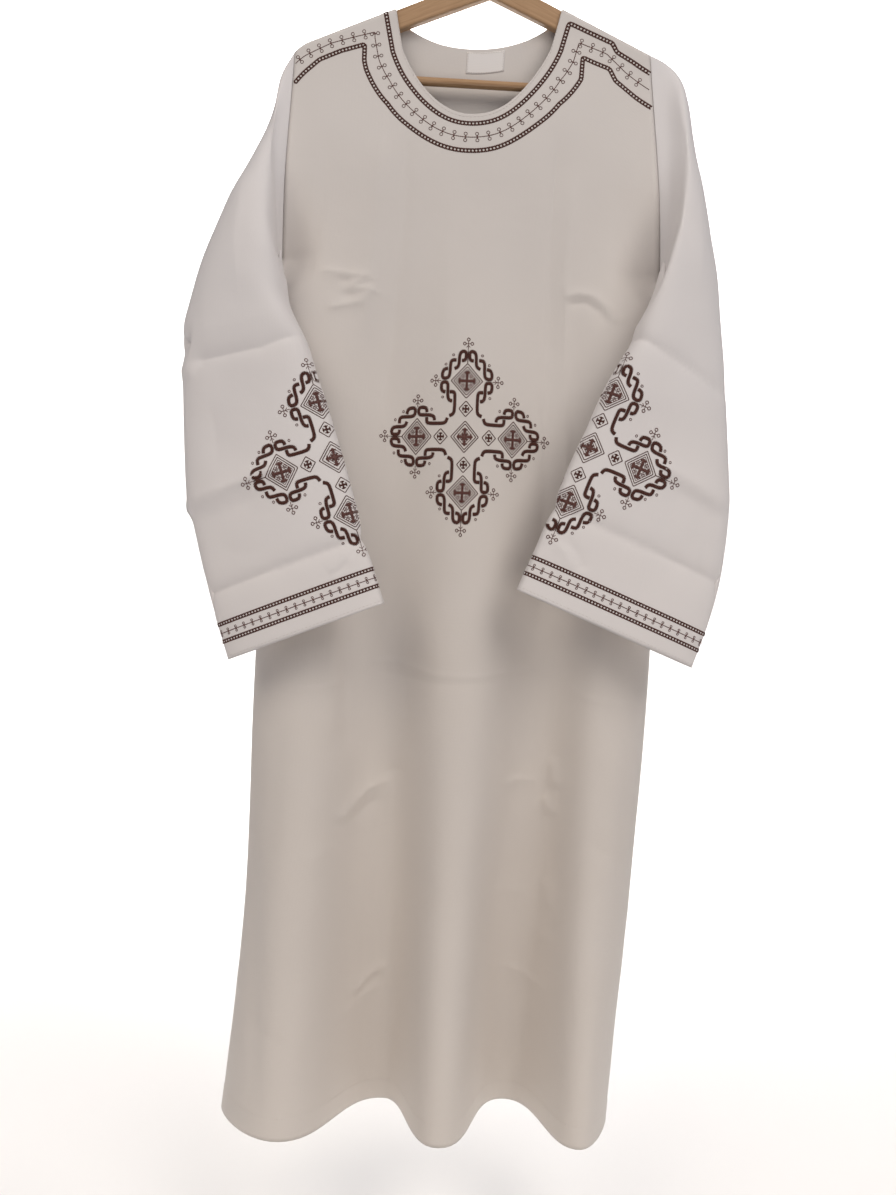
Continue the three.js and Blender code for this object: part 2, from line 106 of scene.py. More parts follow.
def track(values, place):  # a smooth line through evenly placed values
    last = len(values) - 1
    i = min(last - 1, max(0, int(place)))
    k = place - i
    slope0 = values[1] - values[0] if i == 0 else (values[i + 1] - values[i - 1]) / 2
    slope1 = values[last] - values[last - 1] if i + 1 == last else (values[i + 2] - values[i]) / 2
    rise = values[i + 1] - values[i]
    square = 3 * rise - 2 * slope0 - slope1
    return values[i] + slope0 * k + square * k**2 + (slope0 + slope1 - 2 * rise) * k**3


def runLengths(points, axis):  # along a line or a grid, from its first point
    steps = np.linalg.norm(np.diff(points, axis=axis), axis=-1)
    return np.insert(np.cumsum(steps, axis=axis), 0, 0, axis=axis)


def waysAlong(line):  # unit directions
    ways = np.gradient(line, axis=0)
    return ways / np.linalg.norm(ways, axis=1, keepdims=True)


def shoulderTop(x):
    past = np.maximum(0, np.abs(x) - shoulder["armReach"])
    lift = (clothSheet["solidWall"] / 2 + clothSheet["gap"]) / math.cos(math.atan(shoulder["slope"]))
    return shoulder["crown"] + lift - shoulder["slope"] * np.abs(x) - shoulder["droop"] * past**2


def sideEdge(panel, side, z):
    halfGap = clothSheet["gap"] / 2
    halfWall = clothSheet["solidWall"] / 2
    if z >= level["armpit"]:
        tip = shoulder[side]
        down = (z - shoulderTop(tip)) / (level["armpit"] - shoulderTop(tip))
        close = min(1, max(0, (level["yoke"] - z) / (level["yoke"] - level["armpit"])))
        away = mix(halfGap + halfWall, shoulder["armholeDepth"], 1 - close ** shoulder["armholeClose"])
        return mix(tip, sideSeam[side][0], down), panel["facing"] * away, 0
    turned = math.pi / 2 * float(smooth((level["armpit"] - z) / fold["sideTurn"]))
    heights = sideSeam["z"]
    place = len(heights) - 1
    for i in range(len(heights) - 1):
        if z >= heights[i + 1]:
            place = i + (heights[i] - z) / (heights[i] - heights[i + 1])
            break
    meet = halfGap + halfWall * math.cos(turned)
    return track(sideSeam[side], place), track(sideSeam[side + "Y"], place) + panel["facing"] * meet, turned


def foldAt(panel, row, z):
    thread, chestX, chestY, hemX, hemY, turn = row
    if z > level["chest"]:
        k = float(smooth((level["yoke"] - z) / (level["yoke"] - level["chest"])))
        x = mix(mix(shoulder["left"], shoulder["right"], thread), chestX, k)
        return x, mix(panel["facing"] * shoulder["yokeDepth"], chestY, k), None, fold["calmTurn"]
    k = (level["chest"] - z) / (level["chest"] - level["hem"])
    y = mix(chestY, hemY, k ** fold["growth"])
    return mix(chestX, hemX, k), y, None, mix(fold["calmTurn"], turn, k)


def levelSection(panel, threads, z):  # one row of the panel's points at a height
    ends = [sideEdge(panel, "left", z) + (None,)]
    ends += [foldAt(panel, row, z) for row in panel["folds"]]
    ends += [sideEdge(panel, "right", z) + (None,)]
    marks = [0] + [row[0] for row in panel["folds"]] + [1]
    line = np.zeros((len(threads), 3))
    line[:, 2] = z
    for n in range(len(marks) - 1):
        inside = (threads >= marks[n]) & (threads <= marks[n + 1])
        k = ((threads[inside] - marks[n]) / (marks[n + 1] - marks[n]))[:, None]
        corners = [np.array(ends[n][:2]), np.array(ends[n + 1][:2])]
        span = corners[1][0] - corners[0][0]
        handles = []
        for end, sign in ((ends[n], 1), (ends[n + 1], -1)):
            if end[3] is not None:
                handles.append(np.array([sign * end[3] * span, 0]))
            else:
                reach = fold["sideHandle"] * abs(span)
                away = panel["facing"] * reach * math.sin(end[2])
                handles.append(np.array([sign * reach * math.cos(end[2]), away]))
        controls = [corners[0], corners[0] + handles[0], corners[1] + handles[1], corners[1]]
        weights = [(1 - k) ** 3, 3 * k * (1 - k) ** 2, 3 * k**2 * (1 - k), k**3]
        line[inside, :2] = sum(w * c for w, c in zip(weights, controls))
    return line


def lengthForDrop(drop):  # along the cloth, which lies flat on the arm, rolls over and hangs
    drop = np.asarray(drop, dtype=float)
    roll = shoulder["roll"]
    rolled = shoulder["flat"] + roll * np.arccos(np.clip(1 - drop / roll, -1, 1))
    hung = shoulder["flat"] + roll * math.pi / 2 + drop - roll
    return np.where(drop <= 0, 0, np.where(drop < roll, rolled, hung))


def dropForLength(length):
    roll = shoulder["roll"]
    angle = np.maximum(0, length - shoulder["flat"]) / roll
    rolling = angle < math.pi / 2
    drop = np.where(rolling, roll * (1 - np.cos(angle)), roll * (1 + angle - math.pi / 2))
    over = np.minimum(length, shoulder["flat"]) + roll * np.sin(angle)
    out = np.where(rolling, over, shoulder["flat"] + roll)
    return drop, out


def upperEdge(panel, threads):  # the shoulder seam and the neck's curve
    x = mix(shoulder["left"], shoulder["right"], threads)
    left, right = shoulder["neckLeft"], shoulder["neckRight"]
    across = np.clip((x - left) / (right - left), 0, 1)
    inNeck = (across > 0) & (across < 1)
    seam = np.where(inNeck, mix(shoulderTop(left), shoulderTop(right), across), shoulderTop(x))
    scoop = lengthForDrop(panel["neckDepth"]) * (1 - (2 * across - 1) ** 2) ** shoulder["neckRound"]
    steep = shoulder["neckSteepest"] * np.minimum(x - left, right - x)
    return x, seam, np.where(inNeck, np.minimum(scoop, steep), 0)


def upperRow(panel, threads, lengths, edge=None, low=None):  # points at lengths from the shoulder seam
    x, seam, _ = edge if edge is not None else upperEdge(panel, threads)
    low = levelSection(panel, threads, level["yoke"]) if low is None else low
    drop, out = dropForLength(lengths)
    reach = seam - level["yoke"]
    settle = smooth((drop - shoulder["roll"]) / (reach - shoulder["roll"]))
    y = panel["facing"] * (clothSheet["gap"] / 2 + out)
    return np.stack([mix(x, low[:, 0], drop / reach), mix(y, low[:, 1], settle), seam - drop], axis=1)


def closeRows(start, end, spacing, bands):  # positions from start to end, closer together in the bands
    fine = clothSheet["fineSpacing"]
    places = np.linspace(start, end, 4000)
    density = np.full_like(places, 1 / spacing)
    for low, high in bands:
        density[(places > low) & (places < high)] = 1 / fine
    steps = (density[1:] + density[:-1]) / 2 * np.abs(np.diff(places))
    run = np.concatenate([[0], np.cumsum(steps)])
    return np.interp(np.linspace(0, run[-1], int(run[-1]) + 1), run, places)


def panelGrid(panel, threads, upperShares, spacing):
    edge = upperEdge(panel, threads)
    low = levelSection(panel, threads, level["yoke"])
    full = lengthForDrop(edge[1] - level["yoke"])
    rows = [upperRow(panel, threads, mix(edge[2], full, share), edge, low) for share in upperShares]
    armholeRows = int((level["yoke"] - level["armpit"]) / spacing)
    for z in np.linspace(level["yoke"], level["armpit"], armholeRows)[1:]:
        rows.append(levelSection(panel, threads, z))
    for z in closeRows(level["armpit"] - 0.001, level["hem"], spacing * 1.12, panel["creased"])[1:]:
        rows.append(levelSection(panel, threads, z))
    return np.array(rows)


def panelThreads(spacing):
    left, right = shoulder["neckLeft"], shoulder["neckRight"]
    rolled = [shoulder["flat"] + shoulder["roll"] * math.pi * n / 4 for n in range(3)]
    corner = [0] + [length / shoulder["neckSteepest"] for length in rolled]
    inner = int((right - left) / spacing)
    even = np.linspace(-1, 1, inner)[1:-1]
    xs = list(np.linspace(shoulder["left"], left, int((left - shoulder["left"]) / spacing))[:-1])
    xs += [left + c for c in corner]
    xs += list(mix(left, right, ((even + np.sin(math.pi / 2 * even)) / 2 + 1) / 2))
    xs += [right - c for c in reversed(corner)]
    xs += list(np.linspace(right, shoulder["right"], int((shoulder["right"] - right) / spacing))[1:])
    xs = np.unique(np.round(xs, 4))
    return (xs - shoulder["left"]) / (shoulder["right"] - shoulder["left"])


# Rows close together where the cloth rolls over the arm
rollShares = [0, 0.006, 0.013, 0.02, 0.028, 0.037, 0.047, 0.058]
upperShares = rollShares + list(np.linspace(0.073, 1, 52))
backShares = rollShares + list(np.linspace(0.076, 1, 40))

frontThreads = panelThreads(clothSheet["spacing"])
backThreads = panelThreads(clothSheet["backSpacing"])
frontGrid = panelGrid(frontPanel, frontThreads, upperShares, clothSheet["spacing"])
backGrid = panelGrid(backPanel, backThreads, backShares, clothSheet["backSpacing"])
print("panel grids", frontGrid.shape, backGrid.shape)

# Sleeves: the outer and inner edge and half the depth, at even stations from the armhole to the cuff
sleeveColumns = ("outerX", "outerY", "outerZ", "innerX", "innerY", "innerZ", "half")
leftSleeve = {
    "thread": 0.0, "creased": [(350, 470), (520, 600)], "cuffLine": 82, "lineDepth": 6.5, "seed": 7,
    "outerX": [-241, -256, -263, -281, -303, -325, -343, -352, -346, -342, -330, -309, -288, -267],
    "outerY": [0, -2, -4, -8, -14, -22, -30, -37, -43, -50, -57, -63, -68, -72],
    "outerZ": [-174, -206, -250, -302, -365, -432, -496, -545, -590, -662, -745, -820, -884, -940],
    "innerX": [-243, -247, -243, -238, -230, -222, -198, -180, -164, -142, -120, -103, -92, -83],
    "innerY": [0, -15, -35, -52, -64, -70, -76, -79, -81, -84, -87, -90, -92, -94],
    "innerZ": [-434, -438, -444, -455, -475, -508, -550, -592, -632, -692, -758, -806, -838, -861],
    "half": [24, 30, 36, 42, 44, 42, 37, 32, 28, 25, 22, 20, 18, 17],
}
rightSleeve = {
    "thread": 1.0, "creased": [(330, 430), (500, 570)], "cuffLine": 108, "lineDepth": 5.0, "seed": 11,
    "outerX": [205, 229, 246, 256, 265, 275, 287, 299, 308, 315, 321, 324, 320, 307, 289],
    "outerY": [0, 0, -2, -4, -7, -14, -25, -36, -45, -52, -57, -62, -64, -69, -73],
    "outerZ": [-152, -163, -182, -212, -255, -310, -380, -452, -524, -596, -670, -742, -804, -862, -917],
    "innerX": [236, 241, 239, 235, 228, 217, 203, 190, 168, 146, 125, 106, 92, 81, 73],
    "innerY": [0, -13, -32, -50, -64, -74, -79, -84, -87, -88, -89, -91, -92, -94, -96],
    "innerZ": [-434, -438, -444, -452, -465, -484, -508, -540, -582, -634, -690, -744, -786, -814, -836],
    "half": [24, 26, 31, 35, 40, 42, 41, 36, 32, 28, 25, 22, 20, 18, 17],
}
sleeveShape = {"length": 790, "ease": 0.15, "oval": 2.4, "lineBand": 20}
armholeSteps = [0, 1.5, 3, 4.5, 6, 7.5, 9.2, 11, 13.2, 16, 19.5, 23.5]


def armholeLoop(sleeve):
    threads = np.array([sleeve["thread"]])
    outwards = -1 if sleeve["thread"] == 0 else 1
    full = float(lengthForDrop(upperEdge(frontPanel, threads)[1] - level["yoke"])[0])
    lengths = armholeSteps + list(np.linspace(28, full, int((full - 28) / clothSheet["spacing"])))
    heights = np.linspace(level["yoke"], level["armpit"], 26)[1:-1]

    def edgeOf(panel):
        points = [upperRow(panel, threads, np.array([length]))[0] for length in lengths]
        points += [levelSection(panel, threads, z)[0] for z in heights]
        return np.array(points)

    front, back = edgeOf(frontPanel), edgeOf(backPanel)
    bottomX = sideSeam["left" if outwards < 0 else "right"][0]
    top = (front[0] + back[0]) / 2
    bottom = np.array([bottomX, 0, level["armpit"] - clothSheet["solidWall"] / 2])
    loop = np.array([top, *front[1:], bottom, *back[1:][::-1]])
    loop[:, 0] += outwards * clothSheet["gap"]
    return loop


def sleeveGrid(sleeve):
    loop, length = armholeLoop(sleeve), sleeveShape["length"]
    low = len(loop) // 2
    share = ((loop[:, 2] - loop[low, 2]) / (loop[0, 2] - loop[low, 2]))[:, None]
    oval = np.sqrt(np.maximum(0, 1 - np.abs(2 * share - 1) ** sleeveShape["oval"]))
    sign = np.zeros((len(loop), 1))
    sign[1:low], sign[low + 1:] = 1, -1
    worn = np.abs(loop[:, 1:2]) / shoulder["armholeDepth"]
    lineAt, band = length - sleeve["cuffLine"], sleeveShape["lineBand"]
    bands = [(lineAt - band, lineAt + band), *sleeve["creased"]]
    rows = [loop]
    for along in closeRows(0, length, clothSheet["spacing"] * 1.15, bands)[1:] / length:
        place = min(along, 1) * (len(sleeve["half"]) - 1)
        read = np.array([track(sleeve[name], place) for name in sleeveColumns])
        outer, inner, half = read[:3], read[3:6], read[6]
        line = (outer - inner) / np.linalg.norm(outer - inner)
        across = np.array([0, 1, 0]) - line * line[1]
        across /= np.linalg.norm(across)
        depth = -sign * half * mix(worn, oval, float(smooth(along / sleeveShape["ease"])))
        rows.append(inner + (outer - inner) * share + across * depth)
    return np.array(rows)


leftGrid = sleeveGrid(leftSleeve)
rightGrid = sleeveGrid(rightSleeve)
print("sleeve grids", leftGrid.shape, rightGrid.shape)


def gridNormals(grid, wraps):
    down = np.gradient(grid, axis=0)
    if wraps:
        across = (np.roll(grid, -1, axis=1) - np.roll(grid, 1, axis=1)) / 2
    else:
        across = np.gradient(grid, axis=1)
    normals = np.cross(across, down)
    return normals / np.maximum(np.linalg.norm(normals, axis=2, keepdims=True), 1e-9)


# Creases, each a line of (x, z) points: its depth, its width above and below it, how far its ends fade.
# A negative depth is a trough, a positive one a ridge. Each comes to a crisp line in its middle.
creaseCrispness = 1.08


def creaseHeight(x, z, creases):
    height = np.zeros_like(x)
    for depth, above, below, fade, points in creases:
        lengths = [math.dist(a, b) for a, b in zip(points, points[1:])]
        total = sum(lengths)
        nearest = np.full_like(x, 1e9)
        signed = np.zeros_like(x)
        along = np.zeros_like(x)
        start = 0
        for (ax, az), (bx, bz), length in zip(points, points[1:], lengths):
            ux, uz = (bx - ax) / length, (bz - az) / length
            t = np.clip((x - ax) * ux + (z - az) * uz, 0, length)
            dx, dz = x - ax - ux * t, z - az - uz * t
            apart = np.hypot(dx, dz)
            closer = apart < nearest
            nearest = np.where(closer, apart, nearest)
            signed = np.where(closer, -uz * dx + ux * dz, signed)
            along = np.where(closer, start + t, along)
            start += length
        width = np.where(signed >= 0, above, below)
        ends = smooth(along / fade) * smooth((total - along) / fade)
        height += depth * np.exp(-((nearest / width) ** creaseCrispness)) * ends
    return height


def unevenness(x, z, size, seed):  # slow swells of the cloth, summed from a few seeded waves
    random = np.random.default_rng(seed)
    height = np.zeros_like(x)
    for length in (230, 150, 105, 74, 52):
        for _ in range(3):
            turn, phase = random.uniform(0, 2 * math.pi, 2)
            wave = 2 * math.pi / length
            height += np.sin(wave * (x * math.cos(turn) + 0.6 * z * math.sin(turn)) + phase) * length / 230
    return height * size / 3


frontCreases = [
    # the ironed line across the skirt
    (1.2, 3.6, 5, 14, [(-212, -973), (-167, -972), (-126, -961)]),
    (1.0, 3.6, 5, 14, [(-104, -940), (-98, -936), (-67, -933), (-21, -946), (25, -946), (67, -940),
                       (117, -930)]),
    (1.5, 3.6, 5, 14, [(146, -952), (174, -965), (202, -968), (236, -971)]),
    (-1.5, 16, 12, 30, [(-98, -946), (-21, -957), (67, -951)]),
    # upright folds below the left cuff and at the chest
    (-3.4, 9, 13, 40, [(-134, -850), (-131, -920), (-126, -984), (-121, -1060)]),
    (2.2, 14, 9, 40, [(-148, -860), (-146, -960), (-142, -1050)]),
    (-3.4, 10, 22, 70, [(-92, -250), (-90, -380), (-96, -540), (-104, -640)]),
    (3.2, 20, 16, 70, [(-124, -250), (-126, -400), (-130, -560)]),
    (-4.6, 30, 10, 80, [(96, -240), (92, -400), (98, -560), (106, -760), (110, -900)]),
    (3.6, 9, 22, 70, [(118, -300), (114, -430), (122, -600), (136, -740)]),
    (-2.0, 14, 14, 60, [(-186, -260), (-196, -380), (-206, -480)]),
    (-2.0, 14, 14, 60, [(176, -280), (186, -420), (196, -520)]),
    (1.6, 20, 20, 60, [(-30, -300), (-34, -420), (-30, -540)]),
    # small zigzags at the chest
    (2.8, 5, 8, 12, [(-192, -454), (-134, -457), (-149, -472), (-126, -474), (-137, -489), (-181, -502)]),
    (-2.0, 5, 7, 10, [(-170, -464), (-150, -465)]),
    (-2.0, 5, 7, 10, [(-166, -484), (-143, -482)]),
    (3.2, 6, 6, 12, [(112, -471), (130, -463), (150, -466), (168, -480), (183, -502)]),
    (-2.6, 5, 7, 12, [(116, -478), (140, -474), (158, -484), (174, -504)]),
    # slanting dents in the left valley
    (3.4, 7, 10, 16, [(-132, -1140), (-113, -1115), (-95, -1096), (-64, -1083)]),
    (-2.6, 9, 8, 16, [(-116, -1142), (-96, -1120), (-76, -1106)]),
    (-2.4, 14, 9, 20, [(-82, -1084), (-66, -1072), (-44, -1070)]),
    (3.4, 7, 9, 16, [(-104, -1366), (-81, -1341), (-55, -1322)]),
    (2.6, 7, 9, 16, [(-118, -1392), (-92, -1370), (-60, -1350)]),
    (-2.6, 8, 8, 16, [(-106, -1380), (-84, -1356), (-60, -1336)]),
    # dents down the steep side of the right valley
    (3.2, 6, 8, 14, [(134, -1040), (140, -1062), (144, -1086)]),
    (3.2, 6, 8, 12, [(128, -1092), (140, -1112), (146, -1120)]),
    (2.8, 6, 8, 14, [(138, -1196), (143, -1226), (146, -1244)]),
    (2.6, 6, 8, 12, [(140, -1262), (145, -1286)]),
    (2.2, 5, 9, 16, [(70, -1084), (92, -1074), (122, -1078)]),
    (2.4, 5, 9, 16, [(82, -1321), (112, -1328), (150, -1345)]),
    (1.6, 6, 8, 14, [(60, -1218), (96, -1224), (120, -1220)]),
    # the flare at the left of the hem
    (-3.6, 10, 9, 50, [(-232, -1150), (-224, -1250), (-213, -1400), (-202, -1504)]),
    (2.6, 9, 12, 24, [(-250, -1326), (-236, -1352), (-230, -1384)]),
    (2.0, 6, 9, 12, [(-252, -1378), (-234, -1384)]),
    (-2.0, 8, 8, 16, [(-228, -1360), (-208, -1392), (-168, -1398)]),
    (1.8, 9, 12, 20, [(-176, -1180), (-150, -1176), (-128, -1160)]),
    (-1.8, 12, 12, 40, [(-206, -1000), (-204, -1100), (-208, -1200)]),
    (1.6, 8, 10, 30, [(206, -1010), (210, -1110), (208, -1200)]),
    (-2.0, 8, 10, 24, [(176, -1130), (196, -1150), (222, -1158)]),
]
backCreases = [
    (2.0, 3.6, 5, 14, [(-216, -965), (-120, -952), (-40, -946), (50, -952), (130, -944), (224, -960)]),
    (3.6, 20, 18, 60, [(112, -840), (112, -950), (108, -1080)]),
    (2.4, 12, 10, 40, [(-56, -880), (-62, -980), (-68, -1080)]),
    (2.8, 6, 9, 12, [(-150, -500), (-118, -488), (-126, -500), (-86, -506)]),
    (3.2, 7, 10, 16, [(120, -1150), (96, -1128), (62, -1100)]),
    (3.0, 7, 10, 16, [(-66, -1370), (-34, -1346), (0, -1322)]),
    (2.2, 20, 18, 70, [(-96, -260), (-98, -440), (-96, -640)]),
    (-3.0, 22, 14, 80, [(66, -240), (62, -460), (58, -700)]),
    (-2.6, 20, 14, 80, [(-52, -300), (-56, -520), (-60, -760)]),
    (-2.4, 16, 14, 40, [(-196, -540), (-160, -590), (-146, -680)]),
    (-2.4, 16, 14, 40, [(196, -540), (172, -590), (160, -660)]),
]
leftSleeveCreases = [
    # the elbow's bump, dent and bulge at the outer edge
    (-13.0, 8, 10, 8, [(-368, -556), (-350, -558), (-336, -560)]),
    (4.0, 14, 16, 8, [(-366, -590), (-346, -592), (-326, -600)]),
    # the two ironed lines across it
    (-5.0, 12, 9, 22, [(-340, -585), (-300, -578), (-248, -567), (-196, -544)]),
    (1.5, 60, 30, 22, [(-336, -548), (-290, -542), (-210, -520)]),
    (6.4, 16, 10, 26, [(-338, -762), (-300, -744), (-239, -717), (-204, -700)]),
    (-3.0, 14, 60, 40, [(-330, -782), (-290, -764), (-220, -736)]),
    (-2.6, 30, 26, 50, [(-256, -250), (-262, -340), (-256, -450)]),
    (2.6, 24, 24, 50, [(-286, -330), (-288, -430), (-276, -520)]),
    (-2.4, 20, 20, 40, [(-312, -620), (-296, -680), (-292, -720)]),
    (-2.2, 22, 26, 40, [(-300, -800), (-262, -812), (-210, -806)]),
    # puckers where the cuff's fold meets the inner edge
    (2.4, 6, 8, 8, [(-150, -830), (-131, -806), (-122, -790)]),
    (-2.4, 5, 6, 8, [(-144, -834), (-124, -808), (-114, -794)]),
    (2.0, 5, 6, 6, [(-132, -818), (-110, -796)]),
]
rightSleeveCreases = [
    (-4.4, 8, 10, 22, [(178, -520), (220, -540), (262, -560), (318, -590)]),
    (5.0, 16, 8, 26, [(226, -676), (270, -698), (330, -728)]),
    (-3.0, 10, 60, 30, [(240, -700), (280, -718), (322, -744)]),
    (-2.6, 30, 26, 50, [(240, -220), (250, -320), (248, -430)]),
    (2.6, 24, 24, 50, [(266, -280), (272, -380), (268, -480)]),
    (-2.8, 22, 20, 40, [(300, -740), (292, -800), (282, -840)]),
    (2.0, 30, 30, 50, [(232, -560), (240, -600), (236, -640)]),
    (2.2, 6, 8, 10, [(112, -776), (128, -790), (136, -812)]),
    (-2.0, 6, 6, 10, [(124, -770), (142, -790), (150, -812)]),
]


def edgeDistance(grid):  # along the cloth, up from its lowest row
    return runLengths(grid[::-1], 0)[::-1]


# How far from the seams, the shoulder and the cuff the creases start, the pressed edges' sizes, and
# where a sleeve's back differs from its front
settle = {
    "swell": 1.3, "fromSeam": 22, "fromShoulder": 40, "seamDip": 0.5, "seamDipWidth": 3.5, "hemStep": 2.5,
    "fromArmhole": 40, "cuffHem": 60, "cuffHemFade": 30, "cuffHemShare": 0.35,
    "lineAbove": 9, "lineBelow": 14,
    "backScale": 0.96, "backRight": 8, "backUp": 14, "backSwell": 40,
}


def creasePanel(grid, panel, creases, seed):
    x, z = grid[:, :, 0], grid[:, :, 2]
    normals = gridNormals(grid, False)
    normals *= np.where(np.mean(normals[:, :, 1]) * panel["facing"] < 0, -1, 1)
    height = creaseHeight(x, z, creases) + unevenness(x, z, settle["swell"], seed)
    fromLeft = runLengths(grid, 1)
    toSeam = np.minimum(fromLeft, fromLeft[:, -1:] - fromLeft)
    belowTop = (shoulderTop(x) - z) / settle["fromShoulder"]
    height *= smooth(toSeam / settle["fromSeam"]) * smooth(belowTop)
    height -= settle["seamDip"] * np.exp(-((toSeam / settle["seamDipWidth"]) ** 2)) * smooth(belowTop * 2)
    aboveHem = (edgeDistance(grid) - clothSheet["hemDepth"]) / settle["hemStep"]
    height += clothSheet["hemProud"] * (1 - smooth(aboveHem))
    return grid + normals * height[:, :, None]


def creaseSleeve(grid, sleeve, creases):
    x, z = grid[:, :, 0], grid[:, :, 2]
    normals = gridNormals(grid, True)
    middle = grid.mean(axis=1, keepdims=True)
    normals *= np.sign(np.sum(normals * (grid - middle)))
    facingFront = smooth((0.25 - normals[:, :, 1]) / 0.5)
    shifted = creaseHeight(x * settle["backScale"] + settle["backRight"], z + settle["backUp"], creases)
    height = creaseHeight(x, z, creases) * facingFront + shifted * (1 - facingFront)
    apart = settle["backSwell"] * np.sign(normals[:, :, 1])
    height += unevenness(x + apart, z, settle["swell"], sleeve["seed"])
    fromCuff = edgeDistance(grid)
    inHem = smooth((settle["cuffHem"] - fromCuff) / settle["cuffHemFade"])
    height *= smooth(runLengths(grid, 0) / settle["fromArmhole"]) * mix(1, settle["cuffHemShare"], inHem)
    # a pressed line all round above the cuff
    toLine = fromCuff - sleeve["cuffLine"]
    reach = np.where(toLine > 0, settle["lineAbove"], settle["lineBelow"])
    height -= sleeve["lineDepth"] * np.exp(-np.abs(toLine) / reach)
    return grid + normals * height[:, :, None]


frontGrid = creasePanel(frontGrid, frontPanel, frontCreases, 3)
backGrid = creasePanel(backGrid, backPanel, backCreases, 5)
leftGrid = creaseSleeve(leftGrid, leftSleeve, leftSleeveCreases)
rightGrid = creaseSleeve(rightGrid, rightSleeve, rightSleeveCreases)
print("creases laid")


def newObject(name, mesh):
    thing = bpy.data.objects.new(name, mesh)
    bpy.context.scene.collection.objects.link(thing)
    return thing


def sheetMesh(name, grid, wraps, outward):  # quads with a UV map in metres along the cloth
    rows, columns = grid.shape[:2]
    used = columns if wraps else columns - 1
    index = np.arange(rows * columns).reshape(rows, columns)
    after = np.roll(index, -1, axis=1)
    a, b = index[:-1, :used], after[:-1, :used]
    c, d = after[1:, :used], index[1:, :used]
    faces = np.stack([a, b, c, d], axis=2).reshape(-1, 4)
    normal = gridNormals(grid, wraps)
    if np.sum(normal * outward) < 0:
        faces = faces[:, ::-1]
    mesh = bpy.data.meshes.new(name)
    mesh.from_pydata((grid.reshape(-1, 3) / 1000).tolist(), [], faces.tolist())
    closed = np.concatenate([grid, grid[:, :1]], axis=1)
    u, v = runLengths(closed, 1), runLengths(closed, 0)
    uvLayer = mesh.uv_layers.new(name="clothUV")
    loops = np.zeros(len(mesh.loops), dtype=np.int32)
    mesh.loops.foreach_get("vertex_index", loops)
    row, column = loops // columns, loops % columns
    polygonOf = np.repeat(np.arange(len(faces)), 4)
    seamFace = (polygonOf % used == used - 1) & wraps
    column = np.where(seamFace & (column == 0), columns, column)
    uv = np.stack([u[row, column], -v[row, column]], axis=1) / 1000
    uvLayer.data.foreach_set("uv", uv.ravel())
    mesh.shade_smooth()
    return mesh


def walled(name, grid, wraps, outward, thickness):  # a sheet with its grid in the middle of its wall
    piece = newObject(name, sheetMesh(name, grid, wraps, outward))
    wall = piece.modifiers.new("thickness", "SOLIDIFY")
    wall.thickness = thickness / 1000
    wall.offset = 0
    wall.use_even_offset = False
    return piece


def clothPiece(name, grid, wraps, outward):
    piece = walled(name, grid, wraps, outward, clothSheet["thickness"])
    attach(piece, "root")
    return piece


frontWay = np.array([0, -1, 0])
backWay = np.array([0, 1, 0])
front = clothPiece("front_cloth", frontGrid, False, frontWay)
back = clothPiece("back_cloth", backGrid, False, backWay)
left = clothPiece("left_sleeve_cloth", leftGrid, True, leftGrid - leftGrid.mean(axis=1, keepdims=True))
right = clothPiece("right_sleeve_cloth", rightGrid, True, rightGrid - rightGrid.mean(axis=1, keepdims=True))
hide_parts("front_panel")
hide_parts("back_panel")
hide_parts("sleeve_left")
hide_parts("sleeve_right")

print("cloth made")


def linear(hexColour):
    parts = [int(hexColour[i:i + 2], 16) / 255 for i in (1, 3, 5)]
    return tuple(c / 12.92 if c <= 0.04045 else ((c + 0.055) / 1.055) ** 2.4 for c in parts) + (1,)


def addNode(tree, kind, settings=None, inputs=None, links=None):
    node = tree.nodes.new(kind)
    for name, value in (settings or {}).items():
        setattr(node, name, value)
    for name, value in (inputs or {}).items():
        node.inputs[name].default_value = value
    for name, source in (links or {}).items():
        tree.links.new(source, node.inputs[name])
    return node


def newMaterial(name):
    material = bpy.data.materials.new(name)
    material.use_nodes = True
    tree = material.node_tree
    tree.nodes.clear()
    output = addNode(tree, "ShaderNodeOutputMaterial")
    shader = addNode(tree, "ShaderNodeBsdfPrincipled")
    tree.links.new(shader.outputs["BSDF"], output.inputs["Surface"])
    return material, tree, shader


def objectPlace(tree):
    return addNode(tree, "ShaderNodeTexCoord").outputs["Object"]


def noise(tree, place, scale, detail, roughness=0.5):
    return addNode(tree, "ShaderNodeTexNoise",
                   inputs={"Scale": scale, "Detail": detail, "Roughness": roughness},
                   links={"Vector": place}).outputs["Fac"]


def colourBetween(tree, shader, first, second, factor):
    colour = addNode(tree, "ShaderNodeMix", {"data_type": "RGBA"}, {"A": first, "B": second},
                     {"Factor": factor})
    tree.links.new(colour.outputs["Result"], shader.inputs["Base Color"])


def bump(tree, height, strength, distance, under=None):  # distance in millimetres
    links = {"Height": height, "Normal": under} if under else {"Height": height}
    return addNode(tree, "ShaderNodeBump", inputs={"Strength": strength, "Distance": distance / 1000},
                   links=links).outputs["Normal"]


def setShader(shader, values):
    for name, value in values.items():
        shader.inputs[name].default_value = value


# White polyester and cotton plain weave: matt, a faint sheen at grazing angles, with faint clouds, and a
# painted light tint, cooler at the shoulders and warmer down the skirt. Threads of 0.3 mm are drawn at 1.1
# mm to show.
# The sleeves get a lighter copy of the same colours, painted light, as they show whiter than the body.
clothWeaveAndPaintedLight = {
    # Each pair runs from the cool top to the warm lower end of the painted light tint; the sleeve pair is
    # painted lighter
    "body": ("#D7D2CE", "#D5CEC7"), "sleeve": ("#E2DFDF", "#E2DDDA"), "roughness": 0.8,
    "threadPitch": 1.1, "weaveHeight": 0.05, "rumpleHeight": 1.4,
}


